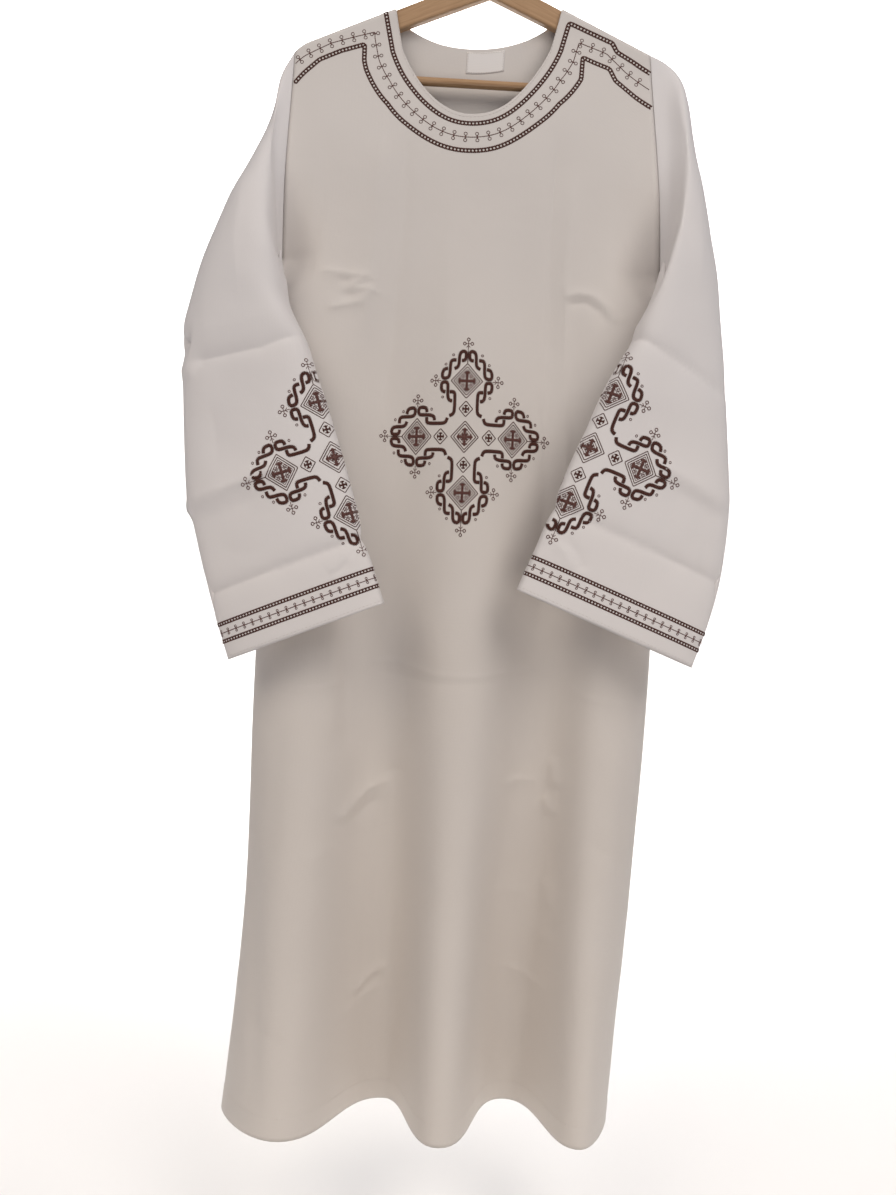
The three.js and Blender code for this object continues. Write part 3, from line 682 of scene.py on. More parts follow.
def wovenCloth(part):
    material, tree, shader = newMaterial("plain_weave_polycotton_" + part)
    paintedCoolTop, paintedWarmSkirt = clothWeaveAndPaintedLight[part]
    place = objectPlace(tree)
    height = addNode(tree, "ShaderNodeSeparateXYZ", links={"Vector": place})
    # Painted light tint: cool at the shoulders, turning warm and a little darker down the skirt
    down = addNode(tree, "ShaderNodeMapRange", inputs={"From Min": -0.25, "From Max": -1.1},
                   links={"Value": height.outputs["Z"]})
    shade = addNode(tree, "ShaderNodeMath", {"operation": "MULTIPLY_ADD"}, {1: 0.5, 2: -0.25},
                    {0: noise(tree, place, 9, 3)})
    paintedTintAndClouds = addNode(tree, "ShaderNodeMath", {"operation": "ADD", "use_clamp": True},
                    links={0: down.outputs["Result"], 1: shade.outputs["Value"]})
    colourBetween(tree, shader, linear(paintedCoolTop), linear(paintedWarmSkirt), paintedTintAndClouds.outputs["Value"])
    cloth = addNode(tree, "ShaderNodeUVMap", {"uv_map": "clothUV"})
    scale = 1000 / clothWeaveAndPaintedLight["threadPitch"] / (2 * 6.283)
    waves = []
    for angle in (0, math.pi / 2):
        turned = addNode(tree, "ShaderNodeMapping", inputs={"Rotation": (0, 0, angle)},
                         links={"Vector": cloth.outputs["UV"]})
        waves.append(addNode(tree, "ShaderNodeTexWave", {"wave_type": "BANDS", "bands_direction": "X"},
                             {"Scale": scale, "Distortion": 0.4, "Detail": 1},
                             {"Vector": turned.outputs["Vector"]}))
    weave = addNode(tree, "ShaderNodeMath", {"operation": "ADD"},
                    links={0: waves[0].outputs["Fac"], 1: waves[1].outputs["Fac"]})
    fine = bump(tree, weave.outputs["Value"], 0.25, clothWeaveAndPaintedLight["weaveHeight"])
    coarse = bump(tree, noise(tree, place, 34, 4, 0.45), 0.4, clothWeaveAndPaintedLight["rumpleHeight"], fine)
    tree.links.new(coarse, shader.inputs["Normal"])
    setShader(shader, {"Roughness": clothWeaveAndPaintedLight["roughness"], "Sheen Weight": 0.15, "Sheen Roughness": 0.5})
    return material


# Rayon embroidery thread: satin lustre, brown, a little uneven from stitch to stitch
threadFinish = {"dark": "#4E2B22", "light": "#62403A", "self": "#D6D0CB"}


def threadMaterial(name, hexColour, spread):
    material, tree, shader = newMaterial(name)
    base = linear(hexColour)
    darker = tuple(c * (1 - spread) for c in base[:3]) + (1,)
    lighter = tuple(min(1, c * (1 + spread)) for c in base[:3]) + (1,)
    colourBetween(tree, shader, darker, lighter, noise(tree, objectPlace(tree), 420, 2))
    setShader(shader, {"Roughness": 0.48, "Specular IOR Level": 0.35})
    return material


# The sleeves' material is the same cloth painted lighter: painted light
bodyCloth, lighterPaintedSleeveCloth = wovenCloth("body"), wovenCloth("sleeve")
darkThread = threadMaterial("brown_rayon_thread", threadFinish["dark"], 0.35)
lightThread = threadMaterial("pale_brown_rayon_thread", threadFinish["light"], 0.3)
selfThread = threadMaterial("white_sewing_thread", threadFinish["self"], 0.06)
for piece, material in ((front, bodyCloth), (back, bodyCloth), (left, lighterPaintedSleeveCloth), (right, lighterPaintedSleeveCloth)):
    piece.data.materials.append(material)


def faceTree(piece):  # stitches are cast on it or snapped to it
    corners = [v.co[:] for v in piece.data.vertices]
    return BVHTree.FromPolygons(corners, [p.vertices[:] for p in piece.data.polygons])


trees = {"front": faceTree(front), "back": faceTree(back), "left": faceTree(left), "right": faceTree(right)}


def castOn(tree, x, z, fromSide):  # millimetres in, (point, normal) in metres out
    start = Vector((x / 1000, fromSide * 0.5, z / 1000))
    point, normal, _, _ = tree.ray_cast(start, Vector((0, -fromSide, 0)))
    if point is None or abs(normal.y) < 0.2:
        return None
    return point, normal if normal.y * fromSide > 0 else -normal


def snapTo(tree, point):
    found, normal, _, _ = tree.find_nearest(Vector(point) / 1000)
    return found, normal


stitchShape = {"lift": 0.25, "flatness": 0.5, "overlap": 1.25, "sides": 4, "shortest": 0.01, "longest": 12}


def addStitch(stitches, start, end, girth):
    if start is None or end is None:
        return
    along = end[0] - start[0]
    if not stitchShape["shortest"] <= along.length * 1000 <= stitchShape["longest"]:
        return
    normal = (start[1] + end[1]).normalized()
    centre = (start[0] + end[0]) / 2
    centre += normal * (clothSheet["thickness"] / 2 + stitchShape["lift"]) / 1000
    reach = along.length * stitchShape["overlap"]
    stitches.append((centre, along.normalized(), normal, reach, girth / 1000))


def resample(points, pitch):  # even steps along a line, whatever its number of coordinates
    points = np.array(points, dtype=float)
    lengths = runLengths(points, 0)
    count = max(1, round(lengths[-1] / pitch))
    places = np.linspace(0, lengths[-1], count + 1)
    return np.stack([np.interp(places, lengths, points[:, n]) for n in range(points.shape[1])], axis=1)


def roundOff(points):  # cuts the corners of a drawn line
    points = np.array(points, dtype=float)
    early = points[:-1] * 0.75 + points[1:] * 0.25
    late = points[:-1] * 0.25 + points[1:] * 0.75
    between = np.stack([early, late], axis=1).reshape(-1, 2)
    return np.concatenate([points[:1], between, points[-1:]])


def runningLine(stitches, place, points, pitch, girth):
    spots = [place(*p) for p in resample(points, pitch)]
    for start, end in zip(spots, spots[1:]):
        addStitch(stitches, start, end, girth)


def satinLine(stitches, place, points, width, pitch, girth):
    line = resample(points, pitch)
    for (u, w), (du, dw) in zip(line, waysAlong(line)):
        addStitch(stitches, place(u - dw * width / 2, w + du * width / 2),
                  place(u + dw * width / 2, w - du * width / 2), girth)


# The cross: one half of one arm is drawn here and turned and mirrored to the other seven.
# u runs sideways and w outwards from the middle of the arm's round end, in millimetres.
crossMotif = {
    "armAt": 69,
    "scrolls": {
        "crown": [(8, 25.2), (3.6, 25.6), (2.4, 29), (2.6, 36.8), (9, 36.8), (12, 32.6), (12.2, 17.6),
                  (18, 15)],
        "side": [(16.6, 25.8), (23.4, 25.4), (24.4, 20), (24.6, 7.8), (26.8, 3.2), (35, 2.8), (35.6, 8),
                 (33.8, 14), (28.2, 15.2)],
        "shoulder": [(30.4, -13.8), (35.8, -13), (36.2, -3.4), (34, -1.6), (27.4, -1.8), (26.6, -6.4),
                     (26.6, -18.5), (24.6, -24.6), (20.2, -25)],
        "arm": [(23.4, -13.8), (17.2, -13.8), (16.1, -17.4), (16.1, -38.8), (18.4, -41.8), (22.6, -43.2)],
    },
    "scrollWidth": 4.3, "satinPitch": 0.85, "satinGirth": 1.15,
    "diamonds": [(22.4, 21.6), (18.6, 17.8)],
    "middleDiamonds": [(19.6, 19.6), (15.9, 15.9)],
    "lattice": [15.2, 11.6, 8.2],
    "smallAt": 34.4, "smallDiamond": 9.8,
    "tipOut": 46.5, "tipSide": 44.5,
    "dots": [(20.6, 32), (30.8, 20.4), (33.6, -20.4)],
    "line": (1.9, 1.3), "fine": (1.7, 0.9),  # step and girth
    "tipSize": 5.3, "dotRadius": 1.7, "cornerAt": 6, "cornerSize": 2.2,
}


def diamondLine(cu, cw, halfU, halfW):
    return [(cu + halfU, cw), (cu, cw + halfW), (cu - halfU, cw), (cu, cw - halfW), (cu + halfU, cw)]


def ringLine(cu, cw, radius, points=6):
    turns = np.linspace(0, 2 * math.pi, points)
    return [(cu + radius * math.cos(turn), cw + radius * math.sin(turn)) for turn in turns]


def tipFloret(stitches, place, centre, out, size):  # a stem with three looped leaves and a cross bar
    side = (-out[1], out[0])

    def spot(a, b):
        return centre[0] + out[0] * a + side[0] * b, centre[1] + out[1] * a + side[1] * b

    runningLine(stitches, place, [spot(-size * 1.5, 0), spot(size * 0.7, 0)], 1.5, 1.0)
    runningLine(stitches, place, [spot(0, -size * 0.8), spot(0, size * 0.8)], 1.5, 1.0)
    for a, b in ((size, 0), (0, size), (0, -size)):
        runningLine(stitches, place, ringLine(*spot(a, b), size * 0.42), 1.4, 1.2)
    for b in (-0.5, 0.5):
        runningLine(stitches, place, [spot(-size * 0.9, b * size), spot(-size * 0.4, 0)], 1.4, 0.9)


def smallCross(stitches, place, cu, cw, reach, width):
    pitch, girth = crossMotif["satinPitch"], crossMotif["satinGirth"]
    for du, dw in ((1, 0), (0, 1)):
        arm = [(cu - du * reach, cw - dw * reach), (cu + du * reach, cw + dw * reach)]
        satinLine(stitches, place, arm, width, pitch, girth)
        for sign in (-1, 1):
            eu, ew = cu + sign * du * reach * 0.86, cw + sign * dw * reach * 0.86
            bar = [(eu - dw * width, ew - du * width), (eu + dw * width, ew + du * width)]
            satinLine(stitches, place, bar, width * 0.6, pitch, girth)


def starPatch(stitches, place, cu, cw, reach, width):  # eight petals
    for turn in np.arange(4) * math.pi / 4:
        du, dw = math.cos(turn) * reach, math.sin(turn) * reach
        satinLine(stitches, place, [(cu - du, cw - dw), (cu + du, cw + dw)], width, 0.9, 1.1)


def drawArm(dark, light, place, quarter):
    c, s = round(math.cos(quarter * math.pi / 2)), round(math.sin(quarter * math.pi / 2))
    line, fine = crossMotif["line"], crossMotif["fine"]

    def onArm(u, w):
        w = w + crossMotif["armAt"]
        return u * c - w * s, u * s + w * c

    def turned(points, mirror=1):
        return [onArm(mirror * u, w) for u, w in points]

    for mirror in (-1, 1):
        for scroll in crossMotif["scrolls"].values():
            satinLine(dark, place, roundOff(turned(scroll, mirror)), crossMotif["scrollWidth"],
                      crossMotif["satinPitch"], crossMotif["satinGirth"])
        for u, w in crossMotif["dots"]:
            runningLine(light, place, turned(ringLine(u, w, crossMotif["dotRadius"]), mirror), 1.5, 1.0)
        tipFloret(light, place, onArm(mirror * crossMotif["tipSide"], 0), (mirror * c, mirror * s),
                  crossMotif["tipSize"])
    tipFloret(light, place, onArm(0, crossMotif["tipOut"]), (-s, c), crossMotif["tipSize"])
    for halfU, halfW in crossMotif["diamonds"]:
        runningLine(dark, place, turned(diamondLine(0, 0, halfU, halfW)), *line)
    for half in crossMotif["lattice"]:
        runningLine(light, place, turned(diamondLine(0, 0, half, half * 0.96)), *fine)
    smallCross(light, place, *onArm(0, 0), 12, 3.8)
    at, size = crossMotif["cornerAt"], crossMotif["cornerSize"]
    for u, w in ((-at, -at), (-at, at), (at, -at), (at, at)):
        runningLine(light, place, turned(diamondLine(u, w, size, size)), 1.5, fine[1])
    cu, cw = onArm(0, crossMotif["smallAt"] - crossMotif["armAt"])
    small = crossMotif["smallDiamond"]
    runningLine(dark, place, diamondLine(cu, cw, small, small), *line)
    smallCross(dark, place, cu, cw, 4.6, 2.2)
    runningLine(dark, place, turned([(0, 21.6), (0, 38)]), *line)


def drawCross(dark, light, place):
    for quarter in range(4):
        drawArm(dark, light, place, quarter)
    for halfU, halfW in crossMotif["middleDiamonds"]:
        runningLine(dark, place, diamondLine(0, 0, halfU, halfW), *crossMotif["line"])
    for half in crossMotif["lattice"][1:]:
        runningLine(light, place, diamondLine(0, 0, half, half), *crossMotif["fine"])
    smallCross(light, place, 0, 0, 10, 3.4)
    starPatch(light, place, 0, 0, 5.6, 2.6)


def flatPlace(tree, x, z, angle, scaleU, scaleW, edge=None):
    c, s = math.cos(math.radians(angle)), math.sin(math.radians(angle))

    def place(u, w):
        u, w = u * scaleU, w * scaleW
        px, pz, side = x + u * c - w * s, z + u * s + w * c, -1
        if edge:
            ex, ez, nx, nz = edge
            beyond = (px - ex) * nx + (pz - ez) * nz
            if beyond > 0:  # past the sleeve's fold, the pattern goes on at its back
                px, pz, side = px - 2 * beyond * nx, pz - 2 * beyond * nz, 1
        return castOn(tree, px, pz, side)

    return place


# Stitches of each thread on each cloth
threadWork = {name: {"dark": [], "light": [], "white": []} for name in trees}
# A sleeve's cross runs over its inner fold: a point of the fold, and the way past it
crossPlaces = {
    "front": {"x": 0.6, "z": -652, "angle": 0.9, "scaleU": 0.86, "scaleW": 1},
    "left": {"x": -152, "z": -692, "angle": 20, "scaleU": 0.94, "scaleW": 1,
             "edge": (-142, -692, 0.941, 0.339)},
    "right": {"x": 148, "z": -664, "angle": -19, "scaleU": 0.94, "scaleW": 1,
              "edge": (136, -662, -0.936, 0.352)},
}
for name, at in crossPlaces.items():
    drawCross(threadWork[name]["dark"], threadWork[name]["light"], flatPlace(trees[name], **at))
    print(name, "cross drawn")


# Braid and floret rows follow a line of spots on the cloth, each with its sideways direction
def rowSpots(points, tree, pitch):
    return [snapTo(tree, p) for p in resample(points, pitch)]


def sideways(spots, n):
    ahead = spots[min(n + 1, len(spots) - 1)][0] - spots[max(n - 1, 0)][0]
    return spots[n][1].cross(ahead).normalized()


def offsetSpot(spots, n, side, distance):
    return spots[n][0] + side * distance / 1000, spots[n][1]


rowStyle = {
    "neck": {"braidPitch": 4.5, "braidWidth": 4.0, "braidGirth": 2.4,
             "floretPitch": 14.7, "floretSize": 7.2},
    "cuff": {"braidPitch": 4.0, "braidWidth": 3.4, "braidGirth": 2.1,
             "floretPitch": 11.2, "floretSize": 4.6},
}


def braidRow(stitches, points, tree, style):  # two lines joined by rungs
    width, girth = style["braidWidth"], style["braidGirth"]
    spots = rowSpots(points, tree, style["braidPitch"] / 2)
    sides = [sideways(spots, n) for n in range(len(spots))]
    for n in range(len(spots) - 1):
        for sign in (-1, 1):
            addStitch(stitches, offsetSpot(spots, n, sides[n], sign * width / 2),
                      offsetSpot(spots, n + 1, sides[n + 1], sign * width / 2), girth)
        if n % 2 == 0:
            rung = [offsetSpot(spots, n, sides[n], sign * width * 0.45) for sign in (-1, 1)]
            addStitch(stitches, *rung, girth)


# In shares of the floret's size, and girths in millimetres
floretShape = {"bar": 0.24, "barGirth": 1.7, "leafAt": 0.56, "leafRadius": 0.3, "leafGirth": 0.95,
               "stemGirth": 1.3, "lineGirth": 1.2}


def floretRow(stitches, points, tree, style):  # a line with a looped leaf each side at every pitch
    size, shape = style["floretSize"], floretShape
    spots = rowSpots(points, tree, style["floretPitch"] / 6)
    sides = [sideways(spots, n) for n in range(len(spots))]
    for n in range(len(spots) - 1):
        addStitch(stitches, spots[n], spots[n + 1], shape["lineGirth"])
    for n in range(3, len(spots) - 3, 6):
        side = sides[n]
        ahead = (spots[n + 1][0] - spots[n - 1][0]).normalized()
        centre, normal = spots[n]

        def spot(a, b):
            return centre + (side * a + ahead * b) * size / 1000, normal

        addStitch(stitches, spot(0, -shape["bar"]), spot(0, shape["bar"]), shape["barGirth"])
        for sign in (-1, 1):
            leaf = ringLine(sign * shape["leafAt"], 0, shape["leafRadius"], 7)
            for p, q in zip(leaf, leaf[1:]):
                addStitch(stitches, spot(*p), spot(*q), shape["leafGirth"])
            addStitch(stitches, spot(0, 0), spot(sign * 0.3, 0), shape["stemGirth"])


def drawRow(work, name, points, tree, style):
    if name == "florets":
        floretRow(work["light"], points, tree, style)
    else:
        braidRow(work["dark"], points, tree, style)


# Neck rows: distance below the neck edge, and (x, drop below the shoulder seam) from the neck outwards
neckRows = {
    "upperBraid": {"below": 12.5, "right": [(102, 15), (157, 11.8), (163, 20), (183, 22), (204, 26)],
                   "left": [(-132, 0)]},
    "florets": {"below": 30, "right": [(115, 33), (136, 30), (151, 28.5), (161, 34), (173, 40), (202, 48)],
                "left": [(-142, 22), (-173, 17.5), (-196, 15), (-239, 19)]},
    "lowerBraid": {"below": 47, "right": [(121, 49), (134, 48), (155, 46), (162, 58), (186, 66), (203, 71)],
                   "left": [(-154, 33), (-182, 30), (-209, 31), (-238, 45)]},
}


def neckPath(panel, row):
    threads = np.linspace(0.0001, 0.9999, 900)
    x, seam, length = upperEdge(panel, threads)
    inNeck = length > 0.5
    curve = np.stack([x[inNeck], -length[inNeck]], axis=1)
    ways = waysAlong(curve)
    offset = curve + np.stack([ways[:, 1], -ways[:, 0]], axis=1) * row["below"]
    ends = [(px, -float(lengthForDrop(drop))) for px, drop in (row["left"][0], row["right"][0])]
    middle = (ends[0][0] + ends[1][0]) / 2
    onLeft = offset[:, 0] < middle
    keep = np.where(onLeft, offset[:, 0] > ends[0][0] + 0.5, offset[:, 0] < ends[1][0] - 0.5)
    keep &= offset[:, 1] < np.where(onLeft, ends[0][1], ends[1][1]) - 2
    path = [(px, -float(lengthForDrop(drop))) for px, drop in reversed(row["left"])]
    path += [tuple(p) for p in offset[keep]]
    path += [(px, -float(lengthForDrop(drop))) for px, drop in row["right"]]
    path = resample(path, 2)
    threads = np.clip((path[:, 0] - shoulder["left"]) / (shoulder["right"] - shoulder["left"]), 0, 1)
    order = np.argsort(threads, kind="stable")
    points = np.zeros((len(path), 3))
    points[order] = upperRow(panel, threads[order], -path[order, 1])
    return points


for panel, treeName in ((frontPanel, "front"), (backPanel, "back")):
    for name, row in neckRows.items():
        drawRow(threadWork[treeName], name, neckPath(panel, row), trees[treeName], rowStyle["neck"])

# Cuff rows: distance from the cuff's edge, along the cloth
cuffRows = {"upperBraid": 43, "florets": 32, "lowerBraid": 22}


def cuffPath(grid, distance):
    above, upwards = edgeDistance(grid)[::-1], grid[::-1]
    points = []
    for c in range(grid.shape[1]):
        points.append([np.interp(distance, above[:, c], upwards[:, c, n]) for n in range(3)])
    return np.array(points + points[:1])


for treeName, grid in (("left", leftGrid), ("right", rightGrid)):
    for name, distance in cuffRows.items():
        drawRow(threadWork[treeName], name, cuffPath(grid, distance), trees[treeName], rowStyle["cuff"])


# Seams and hems sewn with white thread: long straight stitches with a gap between
def seamLine(stitches, points, tree, pitch=2.4):
    spots = rowSpots(points, tree, pitch)
    for n in range(0, len(spots) - 1, 2):
        addStitch(stitches, spots[n], spots[n + 1], 0.6)


sewnAt = {"neck": 4, "cuff": 4}
for panel, treeName, grid in ((frontPanel, "front", frontGrid), (backPanel, "back", backGrid)):
    threads = np.linspace(0.005, 0.995, 500)
    x, seam, length = upperEdge(panel, threads)
    neck = length > 1
    edge = upperRow(panel, threads[neck], length[neck] + sewnAt["neck"])
    seamLine(threadWork[treeName]["white"], edge, trees[treeName])
    seamLine(threadWork[treeName]["white"], cuffPath(grid, clothSheet["hemDepth"])[:-1], trees[treeName])
for grid, treeName in ((leftGrid, "left"), (rightGrid, "right")):
    seamLine(threadWork[treeName]["white"], cuffPath(grid, sewnAt["cuff"]), trees[treeName])

# The label: a flat tape on the back panel's inside, hung from the neck's edge and sewn on by its edges
labelTape = {"left": -24.8, "right": 24.4, "below": 4.3, "height": 27.4, "spacing": 2.2, "thickness": 0.4,
             "sewn": 1.6, "stitch": 1.6}
across = np.arange(labelTape["left"], labelTape["right"], labelTape["spacing"])
threads = (across - shoulder["left"]) / (shoulder["right"] - shoulder["left"])
edge = upperEdge(backPanel, threads)
away = (clothSheet["thickness"] + labelTape["thickness"]) / 2 + 0.1
labelGrid = []
for down in np.arange(0, labelTape["height"] + 0.1, labelTape["spacing"]):
    line = upperRow(backPanel, threads, edge[2] + labelTape["below"] + down, edge)
    spots = [snapTo(trees["back"], point) for point in line]
    labelGrid.append([np.array(point) * 1000 - np.array(normal) * away for point, normal in spots])
labelGrid = np.array(labelGrid)
label = walled("neck_label_tape", labelGrid, False, frontWay, labelTape["thickness"])
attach(label, "root")
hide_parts("neck_label")
rim = np.concatenate([labelGrid[0], labelGrid[:, -1], labelGrid[-1, ::-1], labelGrid[::-1, 0]])
middle = labelGrid.mean(axis=(0, 1))
inwards = 1 - labelTape["sewn"] * 2 / np.ptp(rim, axis=0)
rim = middle + (rim - middle) * np.where(np.ptp(rim, axis=0) > 10, inwards, 1)
seamLine(threadWork["back"]["white"], rim, faceTree(label), labelTape["stitch"])
print("stitches placed")


# Each attribute's kind, the property that holds it, and its place in a stitch
stitchAttributes = {
    "along": ("FLOAT_VECTOR", "vector", 1), "facing": ("FLOAT_VECTOR", "vector", 2),
    "reach": ("FLOAT", "value", 3), "girth": ("FLOAT", "value", 4),
}


def stitchTree(material):  # one small round stitch on each point, along and facing as its attributes say
    tree = bpy.data.node_groups.new("stitches", "GeometryNodeTree")
    tree.interface.new_socket("Points", in_out="INPUT", socket_type="NodeSocketGeometry")
    thin = tree.interface.new_socket("Flatness", in_out="INPUT", socket_type="NodeSocketFloat")
    sides = tree.interface.new_socket("Sides", in_out="INPUT", socket_type="NodeSocketInt")
    tree.interface.new_socket("Stitches", in_out="OUTPUT", socket_type="NodeSocketGeometry")
    entry = addNode(tree, "NodeGroupInput")
    leave = addNode(tree, "NodeGroupOutput")
    read = {}
    for name, (kind, _, _) in stitchAttributes.items():
        read[name] = addNode(tree, "GeometryNodeInputNamedAttribute", {"data_type": kind}, {"Name": name})
    shape = addNode(tree, "GeometryNodeMeshUVSphere", inputs={"Rings": 3, "Radius": 0.5},
                    links={"Segments": entry.outputs["Sides"]})
    turn = addNode(tree, "FunctionNodeAxesToRotation", {"primary_axis": "Z", "secondary_axis": "Y"},
                   links={"Primary Axis": read["along"].outputs["Attribute"],
                          "Secondary Axis": read["facing"].outputs["Attribute"]})
    deep = addNode(tree, "ShaderNodeMath", {"operation": "MULTIPLY"},
                   links={0: read["girth"].outputs["Attribute"], 1: entry.outputs["Flatness"]})
    size = addNode(tree, "ShaderNodeCombineXYZ",
                   links={"X": read["girth"].outputs["Attribute"], "Y": deep.outputs["Value"],
                          "Z": read["reach"].outputs["Attribute"]})
    laid = addNode(tree, "GeometryNodeInstanceOnPoints",
                   links={"Points": entry.outputs["Points"], "Instance": shape.outputs["Mesh"],
                          "Rotation": turn.outputs["Rotation"], "Scale": size.outputs["Vector"]})
    real = addNode(tree, "GeometryNodeRealizeInstances", links={"Geometry": laid.outputs["Instances"]})
    soft = addNode(tree, "GeometryNodeSetShadeSmooth", links={"Geometry": real.outputs["Geometry"]})
    done = addNode(tree, "GeometryNodeSetMaterial", inputs={"Material": material},
                   links={"Geometry": soft.outputs["Geometry"]})
    tree.links.new(done.outputs["Geometry"], leave.inputs["Stitches"])
    return tree, thin.identifier, sides.identifier


def stitchPiece(name, stitches, material):
    points = bpy.data.meshes.new(name + "_points")
    points.from_pydata([s[0] for s in stitches], [], [])
    for attribute, (kind, key, column) in stitchAttributes.items():
        values = points.attributes.new(attribute, kind, "POINT")
        values.data.foreach_set(key, np.array([s[column] for s in stitches], dtype=np.float32).ravel())
    carrier = newObject(name + "_carrier", points)
    tree, thin, sides = stitchTree(material)
    modifier = carrier.modifiers.new("stitches", "NODES")
    modifier.node_group = tree
    modifier[thin] = stitchShape["flatness"]
    modifier[sides] = stitchShape["sides"]
    evaluated = carrier.evaluated_get(bpy.context.evaluated_depsgraph_get())
    mesh = bpy.data.meshes.new_from_object(evaluated)
    mesh.name = name
    bpy.data.objects.remove(carrier)
    bpy.data.meshes.remove(points)
    piece = newObject(name, mesh)
    mesh.materials.clear()  # with the carrier's empty slot
    mesh.materials.append(material)
    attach(piece, "root")
    print(name, len(stitches), "stitches", len(mesh.polygons), "faces")
    return piece


threadMaterials = {"dark": darkThread, "light": lightThread, "white": selfThread}
clothNames = {"front": "front", "back": "back", "left": "left_sleeve", "right": "right_sleeve"}
sewnOn = {}
for name, clothName in clothNames.items():
    sewnOn[name] = []
    for kind, stitches in threadWork[name].items():
        piece = stitchPiece(f"{clothName}_{kind}_thread", stitches, threadMaterials[kind])
        sewnOn[name].append(piece)
sewnOn["back"].append(label)

# Lacquered beech: straight grain along each arm, brown flecks a few millimetres long, satin clear coat
woodFinish = {"pale": "#C29E78", "deep": "#9C7853", "grain": 2.2, "fleck": 6, "stretch": 16}


def beech(name, slope):
    material, tree, shader = newMaterial(name)
    parts = addNode(tree, "ShaderNodeSeparateXYZ", links={"Vector": objectPlace(tree)})
    outwards = addNode(tree, "ShaderNodeMath", {"operation": "ABSOLUTE"}, links={0: parts.outputs["X"]})
    folded = addNode(tree, "ShaderNodeCombineXYZ", links={"X": outwards.outputs["Value"],
                                                          "Y": parts.outputs["Y"], "Z": parts.outputs["Z"]})
    fibres = addNode(tree, "ShaderNodeMapping", {"vector_type": "TEXTURE"},
                     {"Rotation": (0, slope, 0), "Scale": (woodFinish["stretch"], 1, 1)},
                     {"Vector": folded.outputs["Vector"]})
    grain = noise(tree, fibres.outputs["Vector"], 1000 / woodFinish["grain"], 5)
    flecks = noise(tree, fibres.outputs["Vector"], 1000 / woodFinish["fleck"], 2)
    marks = addNode(tree, "ShaderNodeMapRange", inputs={"From Min": 0.56, "From Max": 0.7},
                    links={"Value": flecks})
    depth = addNode(tree, "ShaderNodeMath", {"operation": "MULTIPLY_ADD", "use_clamp": True}, {1: 0.5},
                    {0: marks.outputs["Result"], 2: grain})
    pale, deep = linear(woodFinish["pale"]), linear(woodFinish["deep"])
    colourBetween(tree, shader, pale, deep, depth.outputs["Value"])
    tree.links.new(bump(tree, grain, 0.15, 0.4), shader.inputs["Normal"])
    setShader(shader, {"Roughness": 0.42, "Coat Weight": 0.3, "Coat Roughness": 0.25})
    return material


def dress(node, material):
    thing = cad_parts[node]
    thing.data.materials.clear()
    thing.data.materials.append(material)


dress("hanger_arms", beech("lacquered_beech_arms", math.atan(shoulder["slope"])))
dress("hanger_bar", beech("lacquered_beech_bar", 0.0))

# Zinc plated steel wire: bright grey metal, a little uneven in its shine
wireMaterial, wireTree, wireShader = newMaterial("zinc_plated_wire")
wireRough = addNode(wireTree, "ShaderNodeMapRange", inputs={"To Min": 0.22, "To Max": 0.38},
                    links={"Value": noise(wireTree, objectPlace(wireTree), 900, 3)})
wireTree.links.new(wireRough.outputs["Result"], wireShader.inputs["Roughness"])
setShader(wireShader, {"Base Color": linear("#C3C5C8"), "Metallic": 1})
dress("hanger_hook", wireMaterial)

# Woven satin label, left bare: smooth white tape
labelMaterial, labelTree, labelShader = newMaterial("woven_satin_tape")
labelRibs = addNode(labelTree, "ShaderNodeTexWave", {"bands_direction": "Z"}, {"Scale": 160},
                    {"Vector": objectPlace(labelTree)})
labelTree.links.new(bump(labelTree, labelRibs.outputs["Fac"], 0.2, 0.2), labelShader.inputs["Normal"])
setShader(labelShader, {"Base Color": linear("#E9E6E4"), "Roughness": 0.4})
label.data.materials.append(labelMaterial)
print("hanger and label dressed")

# Camera: level, at the photo's distance and tilt
photoCamera = {"at": (-0.008, -1.43, -0.85), "lens": 34, "sensor": 36, "roll": -3.4}
cameraData = bpy.data.cameras.new("photo_camera")
cameraData.lens = photoCamera["lens"]
cameraData.sensor_width = photoCamera["sensor"]
cameraData.clip_start = 0.01
camera = newObject("photo_camera", cameraData)
camera.location = photoCamera["at"]
camera.rotation_euler = (math.radians(90), math.radians(photoCamera["roll"]), 0)
bpy.context.scene.camera = camera

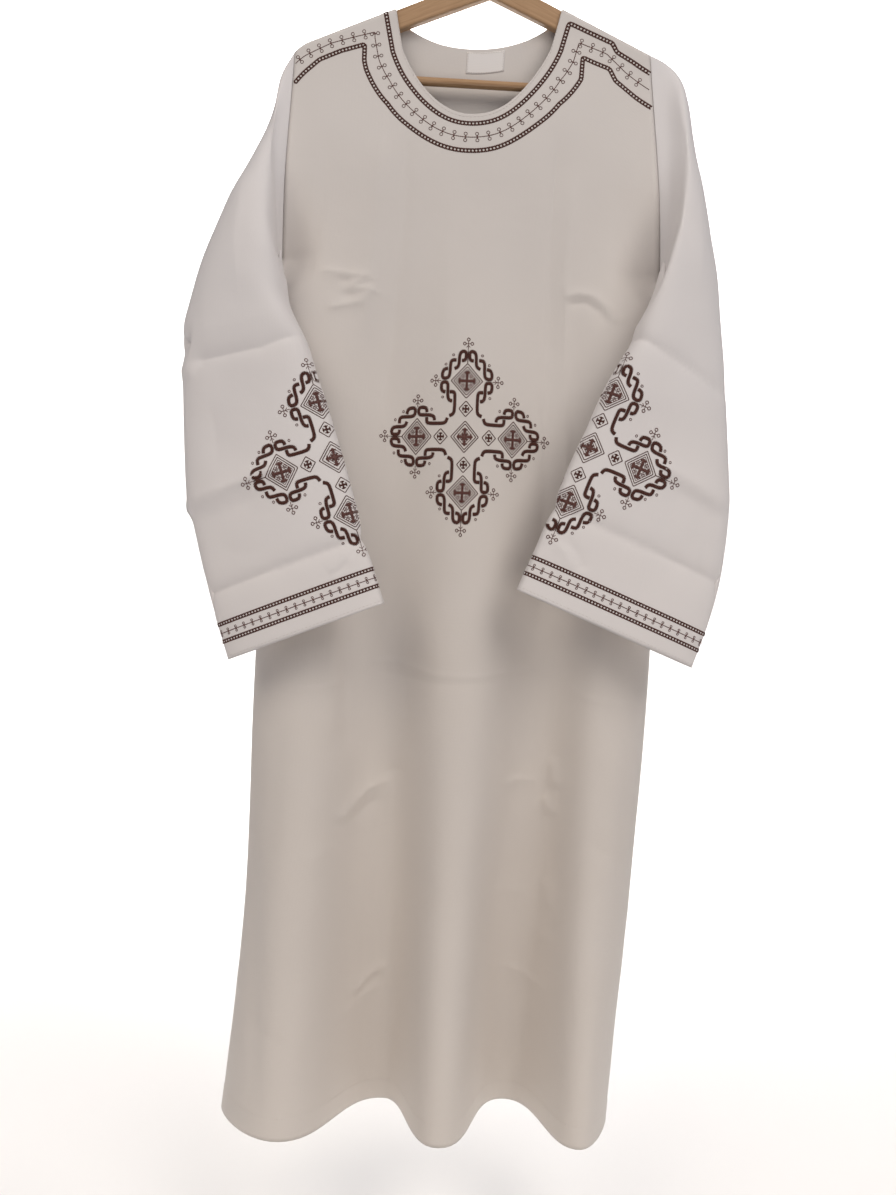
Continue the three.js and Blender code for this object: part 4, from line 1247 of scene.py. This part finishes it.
# Floor and backdrop in one sweep
studio = {
    "floorZ": -1.66, "wallY": 4.2, "bend": 0.8, "bendSteps": 12, "top": 4.8, "half": 5.0, "front": -0.5,
    "colour": "#E8E6E4", "airColour": "#EEECF6", "airStrength": 0.25,
}
profile = [(studio["front"], studio["floorZ"])]
for angle in np.linspace(0, math.pi / 2, studio["bendSteps"] + 1):
    profile.append((studio["wallY"] - studio["bend"] + studio["bend"] * math.sin(angle),
                    studio["floorZ"] + studio["bend"] * (1 - math.cos(angle))))
profile.append((studio["wallY"], studio["top"]))
sweep = bpy.data.meshes.new("studio_sweep")
sweepPoints = [(x, y, z) for y, z in profile for x in (-studio["half"], studio["half"])]
sweepFaces = [(2 * n, 2 * n + 1, 2 * n + 3, 2 * n + 2) for n in range(len(profile) - 1)]
sweep.from_pydata(sweepPoints, [], sweepFaces)
sweep.shade_smooth()
floor = newObject("studio_sweep", sweep)
floorMaterial, _, floorShader = newMaterial("matt_paper")
setShader(floorShader, {"Base Color": linear(studio["colour"]), "Roughness": 0.9})
floor.data.materials.append(floorMaterial)

# Soft light: two from above at either side, a weaker one from low down, one for the backdrop
lights = {
    "keyLight": {"at": (-2.3, -3.0, 2.4), "aim": (0, 0, -0.8), "size": 3.0, "power": 78,
                 "colour": "#FFF5E8"},
    "otherKeyLight": {"at": (2.3, -3.0, 2.4), "aim": (0, 0, -0.8), "size": 3.0, "power": 85,
                      "colour": "#FAF5F0"},
    "fillLight": {"at": (0.5, -1.9, -1.45), "aim": (0, 0, -1.2), "size": 1.3, "power": 8.5,
                  "colour": "#F8EEE2"},
    "wallLight": {"at": (0, 2.3, 2.5), "aim": (0, 4.2, 0.6), "size": 2.4, "power": 300,
                  "colour": "#FFFFFF"},
}
for name, light in lights.items():
    data = bpy.data.lights.new(name, "AREA")
    data.shape = "DISK"
    data.size = light["size"]
    data.energy = light["power"]
    data.color = linear(light["colour"])[:3]
    lamp = newObject(name, data)
    lamp.location = light["at"]
    lamp.rotation_euler = (Vector(light["aim"]) - Vector(light["at"])).to_track_quat("-Z", "Y").to_euler()
world = bpy.data.worlds.new("studio_air")
world.use_nodes = True
air = {"Color": linear(studio["airColour"]), "Strength": studio["airStrength"]}
setShader(world.node_tree.nodes["Background"], air)
bpy.context.scene.world = world
bpy.context.scene.view_settings.view_transform = "Standard"
print("studio ready")
